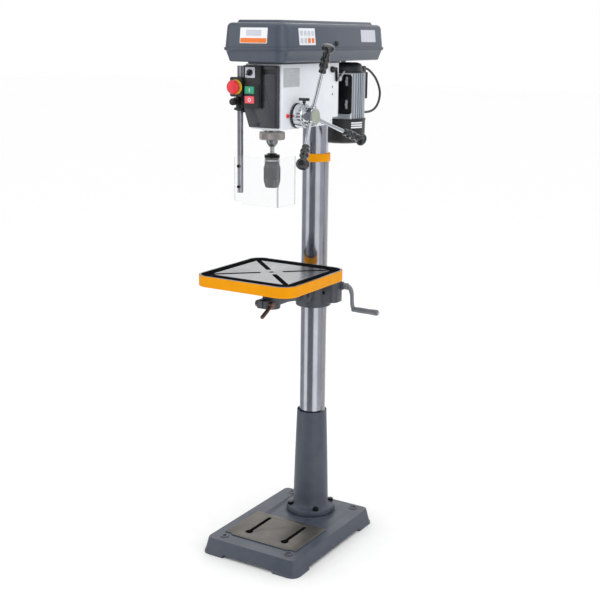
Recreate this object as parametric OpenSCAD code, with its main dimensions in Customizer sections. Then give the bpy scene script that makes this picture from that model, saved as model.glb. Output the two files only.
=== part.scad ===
/* [Column] */
// Outer diameter of the column
column_d = 80; // [70:1:90]
// Height of the column's top end above the floor
column_top = 1440; // [1400:5:1442]
// Distance from the column's axis to the spindle's axis
throat = 244; // [236:1:262]
// Outer radius of the orange stop ring
ring_r = 47; // [47:0.5:52]
// Height of the stop ring's lower face
ring_z = 1204; // [1150:1:1230]
// Height of the stop ring
ring_h = 24.6; // [18:0.1:34]
// Width of the lift rack
rack_w = 18; // [14:1:20]
// Distance from the column's surface to the tips of the rack's teeth
rack_t = 5; // [4.6:0.1:6]

/* [Base] */
// Half width of the base at the floor
base_half_w = 174.6; // [160:0.5:200]
// Distance from the column's axis to the front of the base
base_front = 376; // [360:1:420]
// Distance from the column's axis to the back of the base
base_back = 119; // [110:1:150]
// Height of the base's top face
base_h = 50; // [44:1:60]
// Wall of the base casting
base_wall = 11; // [8:0.5:14]
// Inward slope of the base's sides, from bottom to top
base_draft = 15; // [8:0.5:22]
// Radius of the base's corners
base_corner_r = 30; // [20:1:40]
// Height of the ground pad above the base's top face
pad_h = 3; // [1:0.5:5]
// Radius of the floor bolt holes
floor_hole_r = 6; // [4:0.5:8]
// Half distance between the floor bolt holes across the base
floor_hole_x = 118; // [110:1:126]
// Distance of the front floor bolt holes from the column's axis
floor_hole_front = 326; // [318:1:332]
// Distance of the back floor bolt holes from the column's axis
floor_hole_back = 78; // [60:1:84]
// Width of the keyhole slots in the base
base_slot_w = 12; // [8:0.5:16]
// Half distance between the two keyhole slots
base_slot_x = 66; // [50:1:80]

/* [Column foot] */
// Radius of the foot's flange
foot_r = 80; // [76:1:86]
// Thickness of the foot's flange
foot_t = 20; // [14:1:26]
// Height of the sleeve's top end above the floor
sleeve_top = 399; // [300:1:415]
// Radius of the sleeve just above the flange
sleeve_r0 = 57; // [54:0.5:60]
// Radius of the sleeve at its top end
sleeve_r1 = 48; // [48:0.5:52]
// Radius of the circle that the foot bolts stand on
foot_bolt_r = 68; // [66:0.5:70]
// Radius of the foot bolts' shanks
foot_bolt_shank = 5; // [4:0.5:6]

/* [Table] */
// Half width of the work table
table_half_w = 166; // [140:1:176]
// Half depth of the work table
table_half_d = 167; // [140:1:172]
// Radius of the table's corners
table_corner_r = 45; // [30:1:60]
// Height of the table's rim above the floor
table_top = 896.5; // [880:0.5:912]
// Height of the table's rim band
rim_h = 32.2; // [26:0.2:34]
// Wall of the rim
rim_t = 6; // [4:0.5:9]
// Half width of the ground plate
plate_half_w = 131; // [110:1:135]
// Half depth of the ground plate
plate_half_d = 125; // [105:1:135]
// Depth of the gutter round the plate
gutter_depth = 11; // [8:0.5:14]
// Width of the diagonal clamping slots
slot_w = 16; // [12:0.5:20]
// Radius of the hole in the table's centre
centre_hole_r = 8; // [6:0.5:10]
// Radius of the table's stem
stem_r = 18; // [15:0.5:20]

/* [Table bracket] */
// Radius of the bracket's collar
collar_r = 56; // [53:0.5:58]
// Height of the collar's lower face above the floor
collar_z = 748; // [740:1:756]
// Height of the collar's upper face above the floor
collar_top = 833; // [828:1:845]
// Height of the tilt axis above the floor
tilt_z = 800; // [796:0.5:806]
// Radius of the tilt flanges
tilt_r = 34; // [30:0.5:36]
// Half width of the gear housing
housing_half = 28; // [26:0.5:32]
// Distance from the column's axis to the housing's outer face
housing_x = 94; // [90:0.5:100]
// Height of the pinion shaft above the collar's lower face
pinion_up = 49; // [44:0.5:52]
// Distance from the crank's axis to the grip's axis
crank_r = 70; // [60:1:80]
// Length of the crank's grip
grip_len = 82; // [60:1:90]
// Outward offset of the crank's arm, from its boss to its grip
crank_out = 32; // [16:1:40]

/* [Head] */
// Half width of the head casting
head_half_w = 62; // [60:0.5:70]
// Distance from the column's axis to the casting's front face
head_front = 290; // [282:1:296]
// Distance from the column's axis to the casting's back face
head_back = 50; // [48:0.5:60]
// Height of the casting's lower face above the floor
head_z = 1318.5; // [1314:0.5:1324]
// Height of the casting's upper face above the floor
head_top = 1500; // [1490:0.5:1502]
// Depth of the front cover
cover_d = 12; // [9:0.5:15]
// Wall of the front cover
cover_t = 2.5; // [2:0.25:3.5]
// Depth of the control box in front of the cover
box_d = 10; // [8:0.5:14]

/* [Quill and spindle] */
// Radius of the quill
quill_r = 22.5; // [21:0.25:24]
// Radius of the spindle's shaft
spindle_r = 9; // [8:0.25:10]
// Radius of the knurled bearing cap
cap_r = 37; // [32:0.5:40]
// Height of the knurled band of the cap
cap_h = 22.5; // [16:0.5:25]
// Radius of the spindle's nose
nose_r = 17; // [15:0.5:17.4]
// Radius of the chuck's arbor
arbor_r = 6.6; // [6:0.2:8]
// Length of the quill's feed
feed_travel = 80; // [50:5:80]

/* [Chuck] */
// Largest radius of the chuck's sleeve
chuck_r = 24.5; // [24:0.5:28]
// Height of the chuck's lower end above the floor
chuck_z = 1148; // [1140:1:1156]
// Overall length of the chuck
chuck_len = 99; // [96:1:104]
// Radius of the drill bore in the chuck
chuck_bore_r = 8.2; // [6:0.2:8.4]

/* [Feed hub] */
// Height of the feed shaft above the floor
hub_z = 1355.5; // [1353:0.5:1358]
// Radius of the chromed drum
drum_r = 34; // [30:0.5:36]
// Length of the chromed drum
drum_len = 27; // [22:0.5:32]
// Radius of the hub's boss
boss_r = 26.6; // [24:0.2:29]
// Length of the hub's boss
boss_len = 29; // [24:0.5:34]
// Length of a feed spoke, from the axis to the end of its knob
spoke_len = 214; // [180:1:240]
// Outward lean of the feed spokes
spoke_lean = 19.3; // [5:0.1:25]
// Turn of the first spoke away from upright
spoke_turn = -7.4; // [-30:0.1:30]
// Radius of the spoke rods
spoke_r = 5.5; // [4:0.25:7]

/* [Belt cover] */
// Half width of the belt cover at its seam
cover_half_w = 108; // [100:1:125]
// Distance from the column's axis to the cover's front
cover_front = 355; // [345:1:380]
// Distance from the column's axis to the cover's back
cover_back = 256; // [248:1:280]
// Radius of the cover's corners
cover_corner_r = 38; // [25:1:50]
// Height of the tray's lower face above the floor
tray_z = 1506; // [1503:0.5:1507]
// Height of the seam above the floor
seam_z = 1541; // [1532:0.5:1546]
// Room between the pulleys' upper faces and the lid's shoulder
lid_room = 35; // [28:0.5:47]
// Height of the raised panel on the lid
panel_h = 7.5; // [4:0.5:12]
// Wall of the tray and the lid
cover_wall = 2; // [1.5:0.25:3]

/* [Belt drive] */
// Height of one pulley step
step_h = 16; // [14:0.5:16.5]
// Radius of the smallest pulley step
step_r0 = 34; // [30:0.5:40]
// Growth of the radius from step to step
step_dr = 10; // [7:0.5:10]
// Number of pulley steps
steps = 4; // [3:1:4]
// Distance from the column's axis to the idler's axis, towards the front
idler_y = 55; // [50:1:70]

/* [Motor] */
// Distance from the column's axis to the motor's axis
motor_y = 165; // [162:1:176]
// Radius over the motor's fins
motor_r = 70; // [64:0.5:72]
// Height of the motor body's lower end above the floor
motor_z = 1326; // [1310:1:1335]
// Length of the finned motor body
motor_len = 140; // [134:1:141]
// Radius of the fan cowl
cowl_r = 73; // [70:0.5:76]
// Length of the fan cowl
cowl_len = 77; // [60:1:90]
// Half width of the motor plate
motor_plate_half = 74; // [70:1:80]
// Distance from the column's axis to the motor plate's front face
motor_plate_y = 86; // [82:0.5:87]
// Travel of the motor on its bars
tension_travel = 10; // [5:1:12]

/* [Guard] */
// Width of the square guard rod
rod_w = 13; // [11:0.5:13]
// Height of the guard rod's lower end above the floor
rod_z = 1131; // [1120:1:1150]
// Length of the guard rod
rod_len = 363; // [300:1:366]
// Thickness of the clear guard
guard_t = 3; // [2:0.25:4]
// Height of the clear guard
guard_h = 140; // [100:1:150]
// Depth of the guard's side panel
guard_side = 94; // [60:1:96]
// Length of the guard rod's downward travel
guard_travel = 45; // [20:1:45]

/* [Hidden] */

// Running clearance on a radius, and the gap between pieces that only stand near each other
run = 0.05;
gap = 0.3;
eps = 0.01;
fine = 64;
soft = 32;

column_r = column_d / 2;
spindle_y = -throat;

// Gears: module, teeth and pressure angle
gear_m = 1.25;
rack_pitch = PI * gear_m;
press_a = 20;
lift_teeth = 16;
feed_teeth = 22;
backlash = 0.24;
lift_r = gear_m * lift_teeth / 2;
feed_r = gear_m * feed_teeth / 2;
addendum = gear_m;
dedendum = 1.25 * gear_m;

// The lift rack stands on the column's right side
rack_tip_x = column_r + rack_t;
rack_line_x = rack_tip_x - addendum;
// The rack's corners turn inside this radius when the table swings
rack_turn_r = norm([rack_tip_x, rack_w / 2]) + 0.35;
groove_h = 9;
rack_z0 = sleeve_top - groove_h + gap;
rack_z1 = ring_z + 8;
pinion_x = rack_line_x + lift_r;

// Worm and worm wheel of the lift
worm_m = 2;
wheel_teeth = 12;
wheel_r = worm_m * wheel_teeth / 2;
worm_starts = 2;
worm_r = 8;
worm_lead = PI * worm_m * worm_starts;
worm_y = 16;
pinion_z = collar_z + pinion_up;
worm_z = pinion_z + wheel_r + worm_r;
worm_x0 = rack_tip_x + 2.4;
worm_len = 24;
worm_shaft_r = 7;
wheel_w = 8;
lift_shaft_r = 5;
crank_x = housing_x + 8;
arm_x = crank_x + crank_out;
grip_pin_r = 4;

// The quill, its rack and the feed pinion
quill_z0 = head_z - 28.5;
quill_z1 = head_z + 136.5;
quill_bore_r = spindle_r + 3;
feed_y = spindle_y + feed_r + quill_r - 6.25;
quill_line = feed_y - spindle_y - feed_r;
quill_slot_half = 8.3;
pinion_half = 7.9;
feed_shaft_r = 8.5;
journal_r = 15.2;
cap_z1 = head_z - 9.5;
cap_z0 = cap_z1 - cap_h;
bearing_r = 18;
bearing_h = 12;
nose_z = cap_z0 - 20.5;
chuck_top = chuck_z + chuck_len;

// Head casting
bar_r = 8;
bar_x = 38;
bar_z = 1453;
bar_y0 = -75;
step_z = head_z + 21.5;
step_y = -7;
seat_z = head_top - 30;
seat_r = 26;
hub_sleeve_r = 15;
cavity_half = head_half_w - 12;
cavity_y0 = spindle_y + 59;
cavity_y1 = -58;
cavity_z = head_z + 26.5;
cover_front_y = -head_front - cover_d;
box_y = cover_front_y - box_d;
box_x0 = -53;
box_x1 = 5;
box_z0 = 1377;
box_z1 = 1496.5;
button_x = -31;
button_w = 31;
button_h = 20;
start_z = 1428;
stop_z = 1401;
button_travel = 3;
selector_x = -30.5;
selector_z = 1476.5;
selector_plate_w = 32;
selector_plate_h = 29;

// Guard parts turn about the rod's axis
rod_x = -80;
rod_y = -290;
rod_half = rod_w / 2;
swivel_z0 = 1376.3;
swivel_z1 = 1413.7;
swivel_r = rod_half * sqrt(2) + 3;
swivel_neck_r = rod_half * sqrt(2) + 1.8;
knob_screw_z = swivel_z0 + 17.7;
bracket_x1 = -head_half_w - gap;
ear_t = 7;
estop_x = -74;
estop_z = 1435.5;
estop_r = 20;
estop_box_y = -304;
estop_box_d = 16;
estop_travel = 5;
guard_z = 1100;
guard_x1 = 60;
guard_y = rod_y - rod_half - gap;
guard_screw_z = [rod_z + 18, rod_z + 78];
guard_screw_r = 2.4;

// Table stack
table_y = spindle_y;
rim_z = table_top - rim_h;
plate_top = table_top - 1.2;
gutter_z = table_top - gutter_depth - 1.5;
deck_z = gutter_z - 8;
boss_top = rim_z - 14;
boss_under = boss_top + gap;
arm_boss_r = 27;
arm_boss_z = tilt_z - 14;
tilt_y = -70;
tilt_pin_r = 8;
lock_y = table_y - 35;
lock_z = tilt_z + 4;
lock_r = 5;
column_lock_y = column_r + 30;
column_lock_z = tilt_z - 10;
column_lock_r = 6;

// Feed hub stack along the shaft
hub_x0 = head_half_w + 1;
depth_t = 7;
drum_x = hub_x0 + depth_t + gap;
boss_x = drum_x + drum_len;
spoke_x = boss_x + boss_len / 2;
depth_ring_r = 36;
depth_bore_r = 24;
depth_lock_x = drum_x + 18;
grip_start = 0.62 * spoke_len;
grip_end_r = 19;

// Belt drive
pulley_z = tray_z + 8;
lid_z = pulley_z + steps * step_h + lid_room;
belt_w = 8.6;
belt_t = 8;
front_belt_step = 0;
rear_belt_step = steps - 1;
motor_shaft_r = 8;
idler_shaft_r = 8;
idler_pin_y = -10;

// Motor lead, from the terminal box round to the gland low on the motor
lead_d = 7.6;
lead_x = 20;
lead_route = [[272, 1476], [284, 1476], [298, 1472], [314, 1465], [330, 1456], [345, 1446],
    [358, 1434], [368, 1422], [376, 1409], [380, 1395], [378, 1381], [372, 1368],
    [362, 1357], [348, 1348], [332, 1342], [314, 1339], [296, 1338], [274, 1338], [252, 1338]];
gland_z = 1476;
low_gland_z = 1338;
box_back_y = 262;
box_front_y = motor_y + motor_r + gap;

function arc(cx, cy, r, a0, a1, n) =
    [for (i = [0:n]) [cx + r * cos(a0 + (a1 - a0) * i / n), cy + r * sin(a0 + (a1 - a0) * i / n)]];

// Outline of a rectangle with round corners, as a list of points
function rounded(x0, x1, y0, y1, r, n = 6) = concat(
    arc(x1 - r, y1 - r, r, 0, 90, n), arc(x0 + r, y1 - r, r, 90, 180, n),
    arc(x0 + r, y0 + r, r, 180, 270, n), arc(x1 - r, y0 + r, r, 270, 360, n));

function involute(a) = tan(a) - a * PI / 180;

// Angle from a tooth's middle to its flank at radius r
function flank(m, teeth, r) =
    let (rp = m * teeth / 2, rb = rp * cos(press_a), a = r > rb ? acos(rb / r) : 0)
    (90 / teeth - backlash / 4 / rp * 180 / PI)
        + (involute(press_a) - involute(a)) * 180 / PI;

function gear_points(m, teeth) =
    let (rp = m * teeth / 2, root = rp - 1.25 * m, tip = rp + m)
    [for (t = [0:teeth - 1], s = [-1, 1], i = [0:4])
        let (u = s < 0 ? i : 4 - i, r = root + (tip - root) * u / 4, a = s * flank(m, teeth, r))
        [r * cos(t * 360 / teeth + a), r * sin(t * 360 / teeth + a)]];

// Straight rack: teeth along the second coordinate, tips at first coordinate = tip
function rack_points(tip, back, z0, z1, gap_at) =
    let (half = rack_pitch / 4 - backlash / 4, k0 = ceil((z0 - gap_at) / rack_pitch + 0.1),
        k1 = floor((z1 - gap_at) / rack_pitch - 1.1), s = tan(press_a))
    concat([[back, z0], [tip - addendum - dedendum, z0]],
        [for (k = [k0:k1], i = [0:3])
            let (c = gap_at + (k + 0.5) * rack_pitch, side = i < 2 ? -1 : 1,
                out = i == 1 || i == 2 ? addendum : -dedendum)
            [tip - addendum + out, c + side * (half - out * s)]],
        [[tip - addendum - dedendum, z1], [back, z1]]);

module along_y(y, len) { translate([0, y, 0]) rotate([-90, 0, 0]) linear_extrude(len) children(); }

module bar_x_dir(x, y, z, r, len) { translate([x, y, z]) rotate([0, 90, 0]) cylinder(r = r, h = len, $fn = fine); }

module bar_y_dir(x, y, z, r, len) { translate([x, y, z]) rotate([-90, 0, 0]) cylinder(r = r, h = len, $fn = fine); }

module bar_z_dir(x, y, z, r, len) { translate([x, y, z]) cylinder(r = r, h = len, $fn = fine); }

module box(x0, x1, y0, y1, z0, z1) { translate([x0, y0, z0]) cube([x1 - x0, y1 - y0, z1 - z0]); }

module slab(x0, x1, y0, y1, r, z0, z1) {
    translate([0, 0, z0]) linear_extrude(z1 - z0) polygon(rounded(x0, x1, y0, y1, r));
}

module hex(r, h) { cylinder(r = r, h = h, $fn = 6); }

module base_body(z0, z1, inset0, inset1, r) {
    hull() {
        slab(-base_half_w + inset0, base_half_w - inset0, -base_front + inset0, base_back - inset0, r, z0, z0 + 1);
        slab(-base_half_w + inset1, base_half_w - inset1, -base_front + inset1, base_back - inset1, r, z1 - 1, z1);
    }
}

module base_plate() {
    notch_h = 9;
    side = base_wall;
    top = base_h - base_wall;
    pad_x = floor_hole_x + 12;
    pad_y0 = -floor_hole_front + 16;
    pad_y1 = -foot_r - 39;
    slot_y0 = pad_y0 + 45;
    slot_y1 = pad_y1 - 28;
    color("slategray") difference() {
        union() {
            base_body(0, 8, 0, 1, base_corner_r);
            base_body(6, base_h, 3, base_draft, base_corner_r - 4);
            slab(-pad_x, pad_x, pad_y0, pad_y1, 12, base_h - 2, base_h + pad_h);
            for (x = [-1, 1], y = [-floor_hole_front, floor_hole_back])
                bar_z_dir(x * floor_hole_x, y, base_h - 2, floor_hole_r * 2.2, pad_h + 1);
            bar_z_dir(0, 0, base_h - 2, foot_r + 6, 4);
        }
        // Four pockets under the top, with a cross of ribs between them
        for (x = [-1, 1], y = [0, 1]) {
            x0 = 6;
            x1 = base_half_w - base_draft - side;
            y0 = y == 0 ? -base_front + base_draft + side : -foot_r - 40;
            y1 = y == 0 ? -foot_r - 52 : base_back - base_draft - side;
            slab(x > 0 ? x0 : -x1, x > 0 ? x1 : -x0, y0, y1, 14, -1, top);
        }
        box(-92, 92, -base_front - 1, -base_front + base_draft + side + 1, -1, notch_h);
        box(-92, 92, base_back - base_draft - side - 1, base_back + 1, -1, notch_h);
        for (x = [-1, 1])
            box(x > 0 ? base_half_w - base_draft - side - 1 : -base_half_w - 1,
                x > 0 ? base_half_w + 1 : -base_half_w + base_draft + side + 1, -295, 25, -1, notch_h);
        for (x = [-1, 1]) {
            box(x * base_slot_x - base_slot_w / 2, x * base_slot_x + base_slot_w / 2,
                slot_y0, slot_y1, top - 1, base_h + pad_h + 1);
            bar_z_dir(x * base_slot_x, slot_y0, top - 1, base_slot_w, base_wall + pad_h + 2);
            bar_z_dir(x * base_slot_x, slot_y1, top - 1, base_slot_w / 2, base_wall + pad_h + 2);
        }
        for (x = [-1, 1], y = [-floor_hole_front, floor_hole_back])
            bar_z_dir(x * floor_hole_x, y, -1, floor_hole_r, base_h + pad_h + 2);
        for (a = [45:90:315])
            bar_z_dir(foot_bolt_r * cos(a), foot_bolt_r * sin(a), -1, foot_bolt_shank + run, base_h + 10);
    }
}

module column_foot() {
    z0 = base_h + 2;
    z1 = z0 + foot_t;
    color("slategray") difference() {
        translate([0, 0, z0]) rotate_extrude($fn = fine) polygon(concat(
            [[column_r + run, 0], [foot_r - 2, 0], [foot_r, 3], [foot_r - 1, foot_t - 6]],
            [[foot_r - 7, foot_t], [foot_bolt_r - 9, foot_t + 1.5], [sleeve_r0 + 1, foot_t + 5]],
            [for (i = [0:6]) let (u = i / 6)
                [sleeve_r0 + (sleeve_r1 - sleeve_r0) * (0.72 * u + 0.28 * u * u) - 0.01 * i,
                    foot_t + 12 + (sleeve_top - z1 - 18) * u]],
            [[sleeve_r1, sleeve_top - z0 - 2], [sleeve_r1 - 1, sleeve_top - z0]],
            [[rack_turn_r, sleeve_top - z0], [rack_turn_r, sleeve_top - z0 - groove_h]],
            [[column_r + run, sleeve_top - z0 - groove_h]]));
        for (a = [45:90:315])
            bar_z_dir(foot_bolt_r * cos(a), foot_bolt_r * sin(a), z0 - 1, foot_bolt_shank + run, foot_t + 14);
        for (a = [45:90:315])
            bar_z_dir(foot_bolt_r * cos(a), foot_bolt_r * sin(a), z1 + 0.2, 10.5, 20);
    }
}

module foot_bolts() {
    z1 = base_h + 2 + foot_t;
    color("darkgray") for (a = [45:90:315]) translate([foot_bolt_r * cos(a), foot_bolt_r * sin(a), 0]) {
        translate([0, 0, z1 + 0.2]) cylinder(r = 10, h = 1.8, $fn = fine);
        translate([0, 0, z1 + 2]) hex(9.2, 6.5);
        translate([0, 0, base_h - base_wall - 12]) cylinder(r = foot_bolt_shank, h = z1 + 0.2 - base_h + base_wall + 12, $fn = fine);
        translate([0, 0, base_h - base_wall - 8]) hex(9.2, 8);
    }
}

module column() {
    color("silver") translate([0, 0, base_h + 2.3]) difference() {
        cylinder(r = column_r, h = column_top - base_h - 2.3, $fn = fine * 2);
        translate([0, 0, -1]) cylinder(r = column_r - 4, h = column_top, $fn = fine);
    }
}

module rack_slot(r, half, z0, z1) { box(0, r, -half, half, z0, z1); }

module rack_ring() {
    color("orange") translate([0, 0, ring_z]) difference() {
        rotate_extrude($fn = fine) polygon([[column_r + run, 0], [ring_r - 1.2, 0], [ring_r, 1.2],
            [ring_r, ring_h - 1.2], [ring_r - 1.2, ring_h], [column_r + run, ring_h]]);
        translate([0, 0, -1]) rotate_extrude($fn = fine)
            polygon([[column_r - 1, 0], [rack_turn_r, 0], [rack_turn_r, 9.5], [column_r - 1, 9.5]]);
        bar_y_dir(0, -ring_r - 1, ring_h / 2, 3, 10);
    }
    color("dimgray") bar_y_dir(0, -ring_r + 1, ring_z + ring_h / 2, 2.9, ring_r - column_r - 1 - gap);
}

module lift_rack() {
    color("gray") intersection() {
        translate([0, rack_w / 2, 0]) rotate([90, 0, 0]) linear_extrude(rack_w)
            polygon(rack_points(rack_tip_x, column_r - 3, rack_z0, rack_z1, pinion_z));
        translate([0, 0, rack_z0 - 1]) difference() {
            cylinder(r = rack_tip_x + 1, h = rack_z1 - rack_z0 + 2, $fn = fine);
            translate([0, 0, -1]) cylinder(r = column_r + run, h = rack_z1 - rack_z0 + 4, $fn = fine * 2);
        }
    }
}

module bracket_outline(r, grow) {
    circle(r = r, $fn = fine);
    polygon(rounded(0, housing_x + grow, -housing_half - grow, housing_half + 4 + grow, 20 + grow));
}

module table_bracket() {
    ear_y = column_lock_y + 14;
    color("slategray") difference() {
        union() {
            translate([0, 0, collar_z]) cylinder(r = collar_r, h = collar_top - collar_z, $fn = fine * 2);
            slab(0, housing_x, -housing_half, housing_half + 4, 20, pinion_z - 30, collar_top);
            box(-24, 24, 0, ear_y, column_lock_z - 22, column_lock_z + 22);
            box(-24, 24, tilt_y + 8, 0, tilt_z - 30, collar_top);
            bar_y_dir(0, tilt_y, tilt_z, tilt_r, 12);
            bar_x_dir(housing_x - 4, worm_y, worm_z, 13, 9);
        }
        bar_z_dir(0, 0, collar_z - 1, column_r + run, collar_top - collar_z + 2);
        rack_slot(rack_tip_x + 0.6, rack_w / 2 + 0.5, collar_z - 1, collar_top + 1);
        box(-1.5, 1.5, column_r - 2, ear_y + 1, collar_z - 1, collar_top + 1);
        bar_x_dir(-30, column_lock_y, column_lock_z, column_lock_r + run, 60);
        bar_y_dir(0, tilt_y - 1, tilt_z, tilt_pin_r + run, 16);
        // Cavities of the pinion, the worm wheel and the worm, and the bores of their shafts
        bar_y_dir(pinion_x, -pinion_half - 1.6, pinion_z, wheel_r + 3, worm_y + wheel_w / 2 + 2.4 + pinion_half + 1.6);
        bar_y_dir(pinion_x, -housing_half - 1, pinion_z, lift_shaft_r + run, 2 * housing_half + 8);
        bar_x_dir(worm_x0 - 0.6, worm_y, worm_z, worm_r + 2.2, worm_len + 1.6);
        bar_x_dir(worm_x0, worm_y, worm_z, worm_shaft_r + run, 70);
    }
}

module column_lock() {
    color("dimgray") {
        bar_x_dir(-31, column_lock_y, column_lock_z, column_lock_r, 63);
        translate([24.2, column_lock_y, column_lock_z]) rotate([0, 90, 0]) hex(10.5, 7.5);
        bar_x_dir(-38, column_lock_y, column_lock_z, 10, 13.7);
        translate([-32, column_lock_y, column_lock_z]) rotate([180, 6, 0]) cylinder(r1 = 5.5, r2 = 4.5, h = 66, $fn = soft);
        translate([-39, column_lock_y, column_lock_z - 66]) sphere(r = 8, $fn = soft);
    }
}

module lift_gear() {
    y0 = -housing_half + 4;
    y1 = housing_half + 2;
    color("silver") {
        bar_y_dir(pinion_x, y0, pinion_z, lift_shaft_r, y1 - y0);
        translate([pinion_x, -pinion_half, pinion_z]) rotate([-90, 0, 0]) linear_extrude(2 * pinion_half)
            rotate(180) polygon(gear_points(gear_m, lift_teeth));
        translate([pinion_x, worm_y, pinion_z]) rotate([-90, 0, 0]) translate([0, 0, -wheel_w / 2])
            linear_extrude(wheel_w, twist = -wheel_twist(), slices = 6)
                rotate(-90 - wheel_twist() / 2) polygon(wheel_points());
        bar_y_dir(pinion_x, pinion_half - 0.5, pinion_z, 8, worm_y - wheel_w / 2 - pinion_half + 1);
    }
}

// Turn of the worm wheel's teeth over its width, in degrees
function wheel_twist() = wheel_w * worm_lead / (2 * PI * worm_r) / wheel_r * 180 / PI;

function wheel_points() = [for (t = [0:wheel_teeth - 1], i = [0:3])
    let (r = i == 0 || i == 3 ? wheel_r - 2.1 : wheel_r + 1.7, half = i == 0 || i == 3 ? 1.5 : 0.7,
        s = i < 2 ? -1 : 1, a = t * 360 / wheel_teeth + s * half / r * 180 / PI)
    [r * cos(a), r * sin(a)]];

// One thread of the worm, swept along its helix
module worm_thread(start) {
    turns = worm_len / worm_lead;
    n = ceil(turns * 14);
    section = [[worm_r - 2.4, -1.5], [worm_r + 1.6, -0.7], [worm_r + 1.6, 0.7], [worm_r - 2.4, 1.5]];
    // At this angle the thread lies half a pitch from the wheel's middle, under the worm
    a0 = -90 + start * 180 + 360 * (worm_x0 - pinion_x - worm_lead / worm_starts / 2) / worm_lead;
    points = [for (i = [0:n], p = section)
        let (x = 2 + (worm_len - 4) * i / n, a = a0 + 360 * x / worm_lead)
        [worm_x0 + x + p[1], p[0] * cos(a), p[0] * sin(a)]];
    sides = [for (i = [0:n - 1], j = [0:3]) [i * 4 + j, i * 4 + (j + 1) % 4, (i + 1) * 4 + (j + 1) % 4, (i + 1) * 4 + j]];
    translate([0, worm_y, worm_z])
        polyhedron(points, concat([[3, 2, 1, 0]], sides, [[n * 4, n * 4 + 1, n * 4 + 2, n * 4 + 3]]), convexity = 6);
}

module crank() {
    x1 = crank_x;
    color("slategray") {
        bar_x_dir(worm_x0, worm_y, worm_z, worm_r - 2, worm_len);
        for (s = [0, 1]) worm_thread(s);
        bar_x_dir(worm_x0 + worm_len - 1, worm_y, worm_z, worm_shaft_r, x1 + 14 - worm_x0 - worm_len);
        bar_x_dir(x1 - 2.6, worm_y, worm_z, 11, 24);
        hull() {
            translate([x1 + 8, worm_y, worm_z]) rotate([0, 90, 0]) cylinder(r = 9, h = 9, $fn = soft);
            translate([x1 + crank_out * 0.4, worm_y, worm_z - crank_r * 0.45]) rotate([0, 90, 0]) cylinder(r = 7, h = 7, $fn = soft);
        }
        hull() {
            translate([x1 + crank_out * 0.4, worm_y, worm_z - crank_r * 0.45]) rotate([0, 90, 0]) cylinder(r = 7, h = 7, $fn = soft);
            translate([arm_x, worm_y, worm_z - crank_r]) rotate([0, 90, 0]) cylinder(r = 8.5, h = 7, $fn = soft);
        }
        bar_x_dir(arm_x, worm_y, worm_z - crank_r, grip_pin_r, grip_len + 8);
        bar_x_dir(arm_x + 7 + grip_len + 2 * gap, worm_y, worm_z - crank_r, grip_pin_r + 2, 2.5);
    }
}

module crank_grip() {
    color("dimgray") translate([arm_x + 7 + gap, worm_y, worm_z - crank_r]) rotate([0, 90, 0]) rotate_extrude($fn = fine)
        polygon([[grip_pin_r + run, 0], [7.5, 0], [8.5, 2], [9, grip_len * 0.3], [8.7, grip_len * 0.6], [9.6, grip_len - 8],
            [9.2, grip_len - 2], [7, grip_len], [grip_pin_r + run, grip_len]]);
}

module table_arm() {
    y0 = table_y;
    color("slategray") difference() {
        union() {
            bar_y_dir(0, tilt_y - gap - 9, tilt_z, tilt_r, 9);
            bar_y_dir(0, tilt_y - gap - 1, tilt_z, tilt_pin_r, 14);
            box(-15, 15, y0, tilt_y - gap - 4, tilt_z - 9, tilt_z + 26);
            box(-6, 6, y0, tilt_y - gap - 4, tilt_z - 23, tilt_z);
            box(-26, 26, tilt_y - gap - 26, tilt_y - gap - 4, tilt_z - 16, tilt_z + 20);
            bar_z_dir(0, y0, arm_boss_z, arm_boss_r, boss_top - arm_boss_z);
            box(-22, 18, lock_y - 12, y0, lock_z - 13, lock_z + 13);
        }
        bar_z_dir(0, y0, arm_boss_z - 1, stem_r + run, boss_top - arm_boss_z + 2);
        box(-1.5, 1.5, lock_y - 13, y0 - stem_r + 2, arm_boss_z - 1, boss_top + 1);
        bar_x_dir(-30, lock_y, lock_z, lock_r + run, 60);
    }
}

module table_lock() {
    color("saddlebrown") {
        bar_x_dir(-29, lock_y, lock_z, lock_r, 56);
        translate([-30.5, lock_y, lock_z]) rotate([0, 90, 0]) hex(10.5, 8.2);
        bar_x_dir(18.3, lock_y, lock_z, 10.5, 12);
        translate([24.5, lock_y, lock_z]) rotate([116, 0, 0]) cylinder(r = 6, h = 62, $fn = soft);
    }
}

module table_outline(inset, z0, z1) {
    slab(-table_half_w + inset, table_half_w - inset, table_y - table_half_d + inset,
        table_y + table_half_d - inset, table_corner_r - inset, z0, z1);
}

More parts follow.
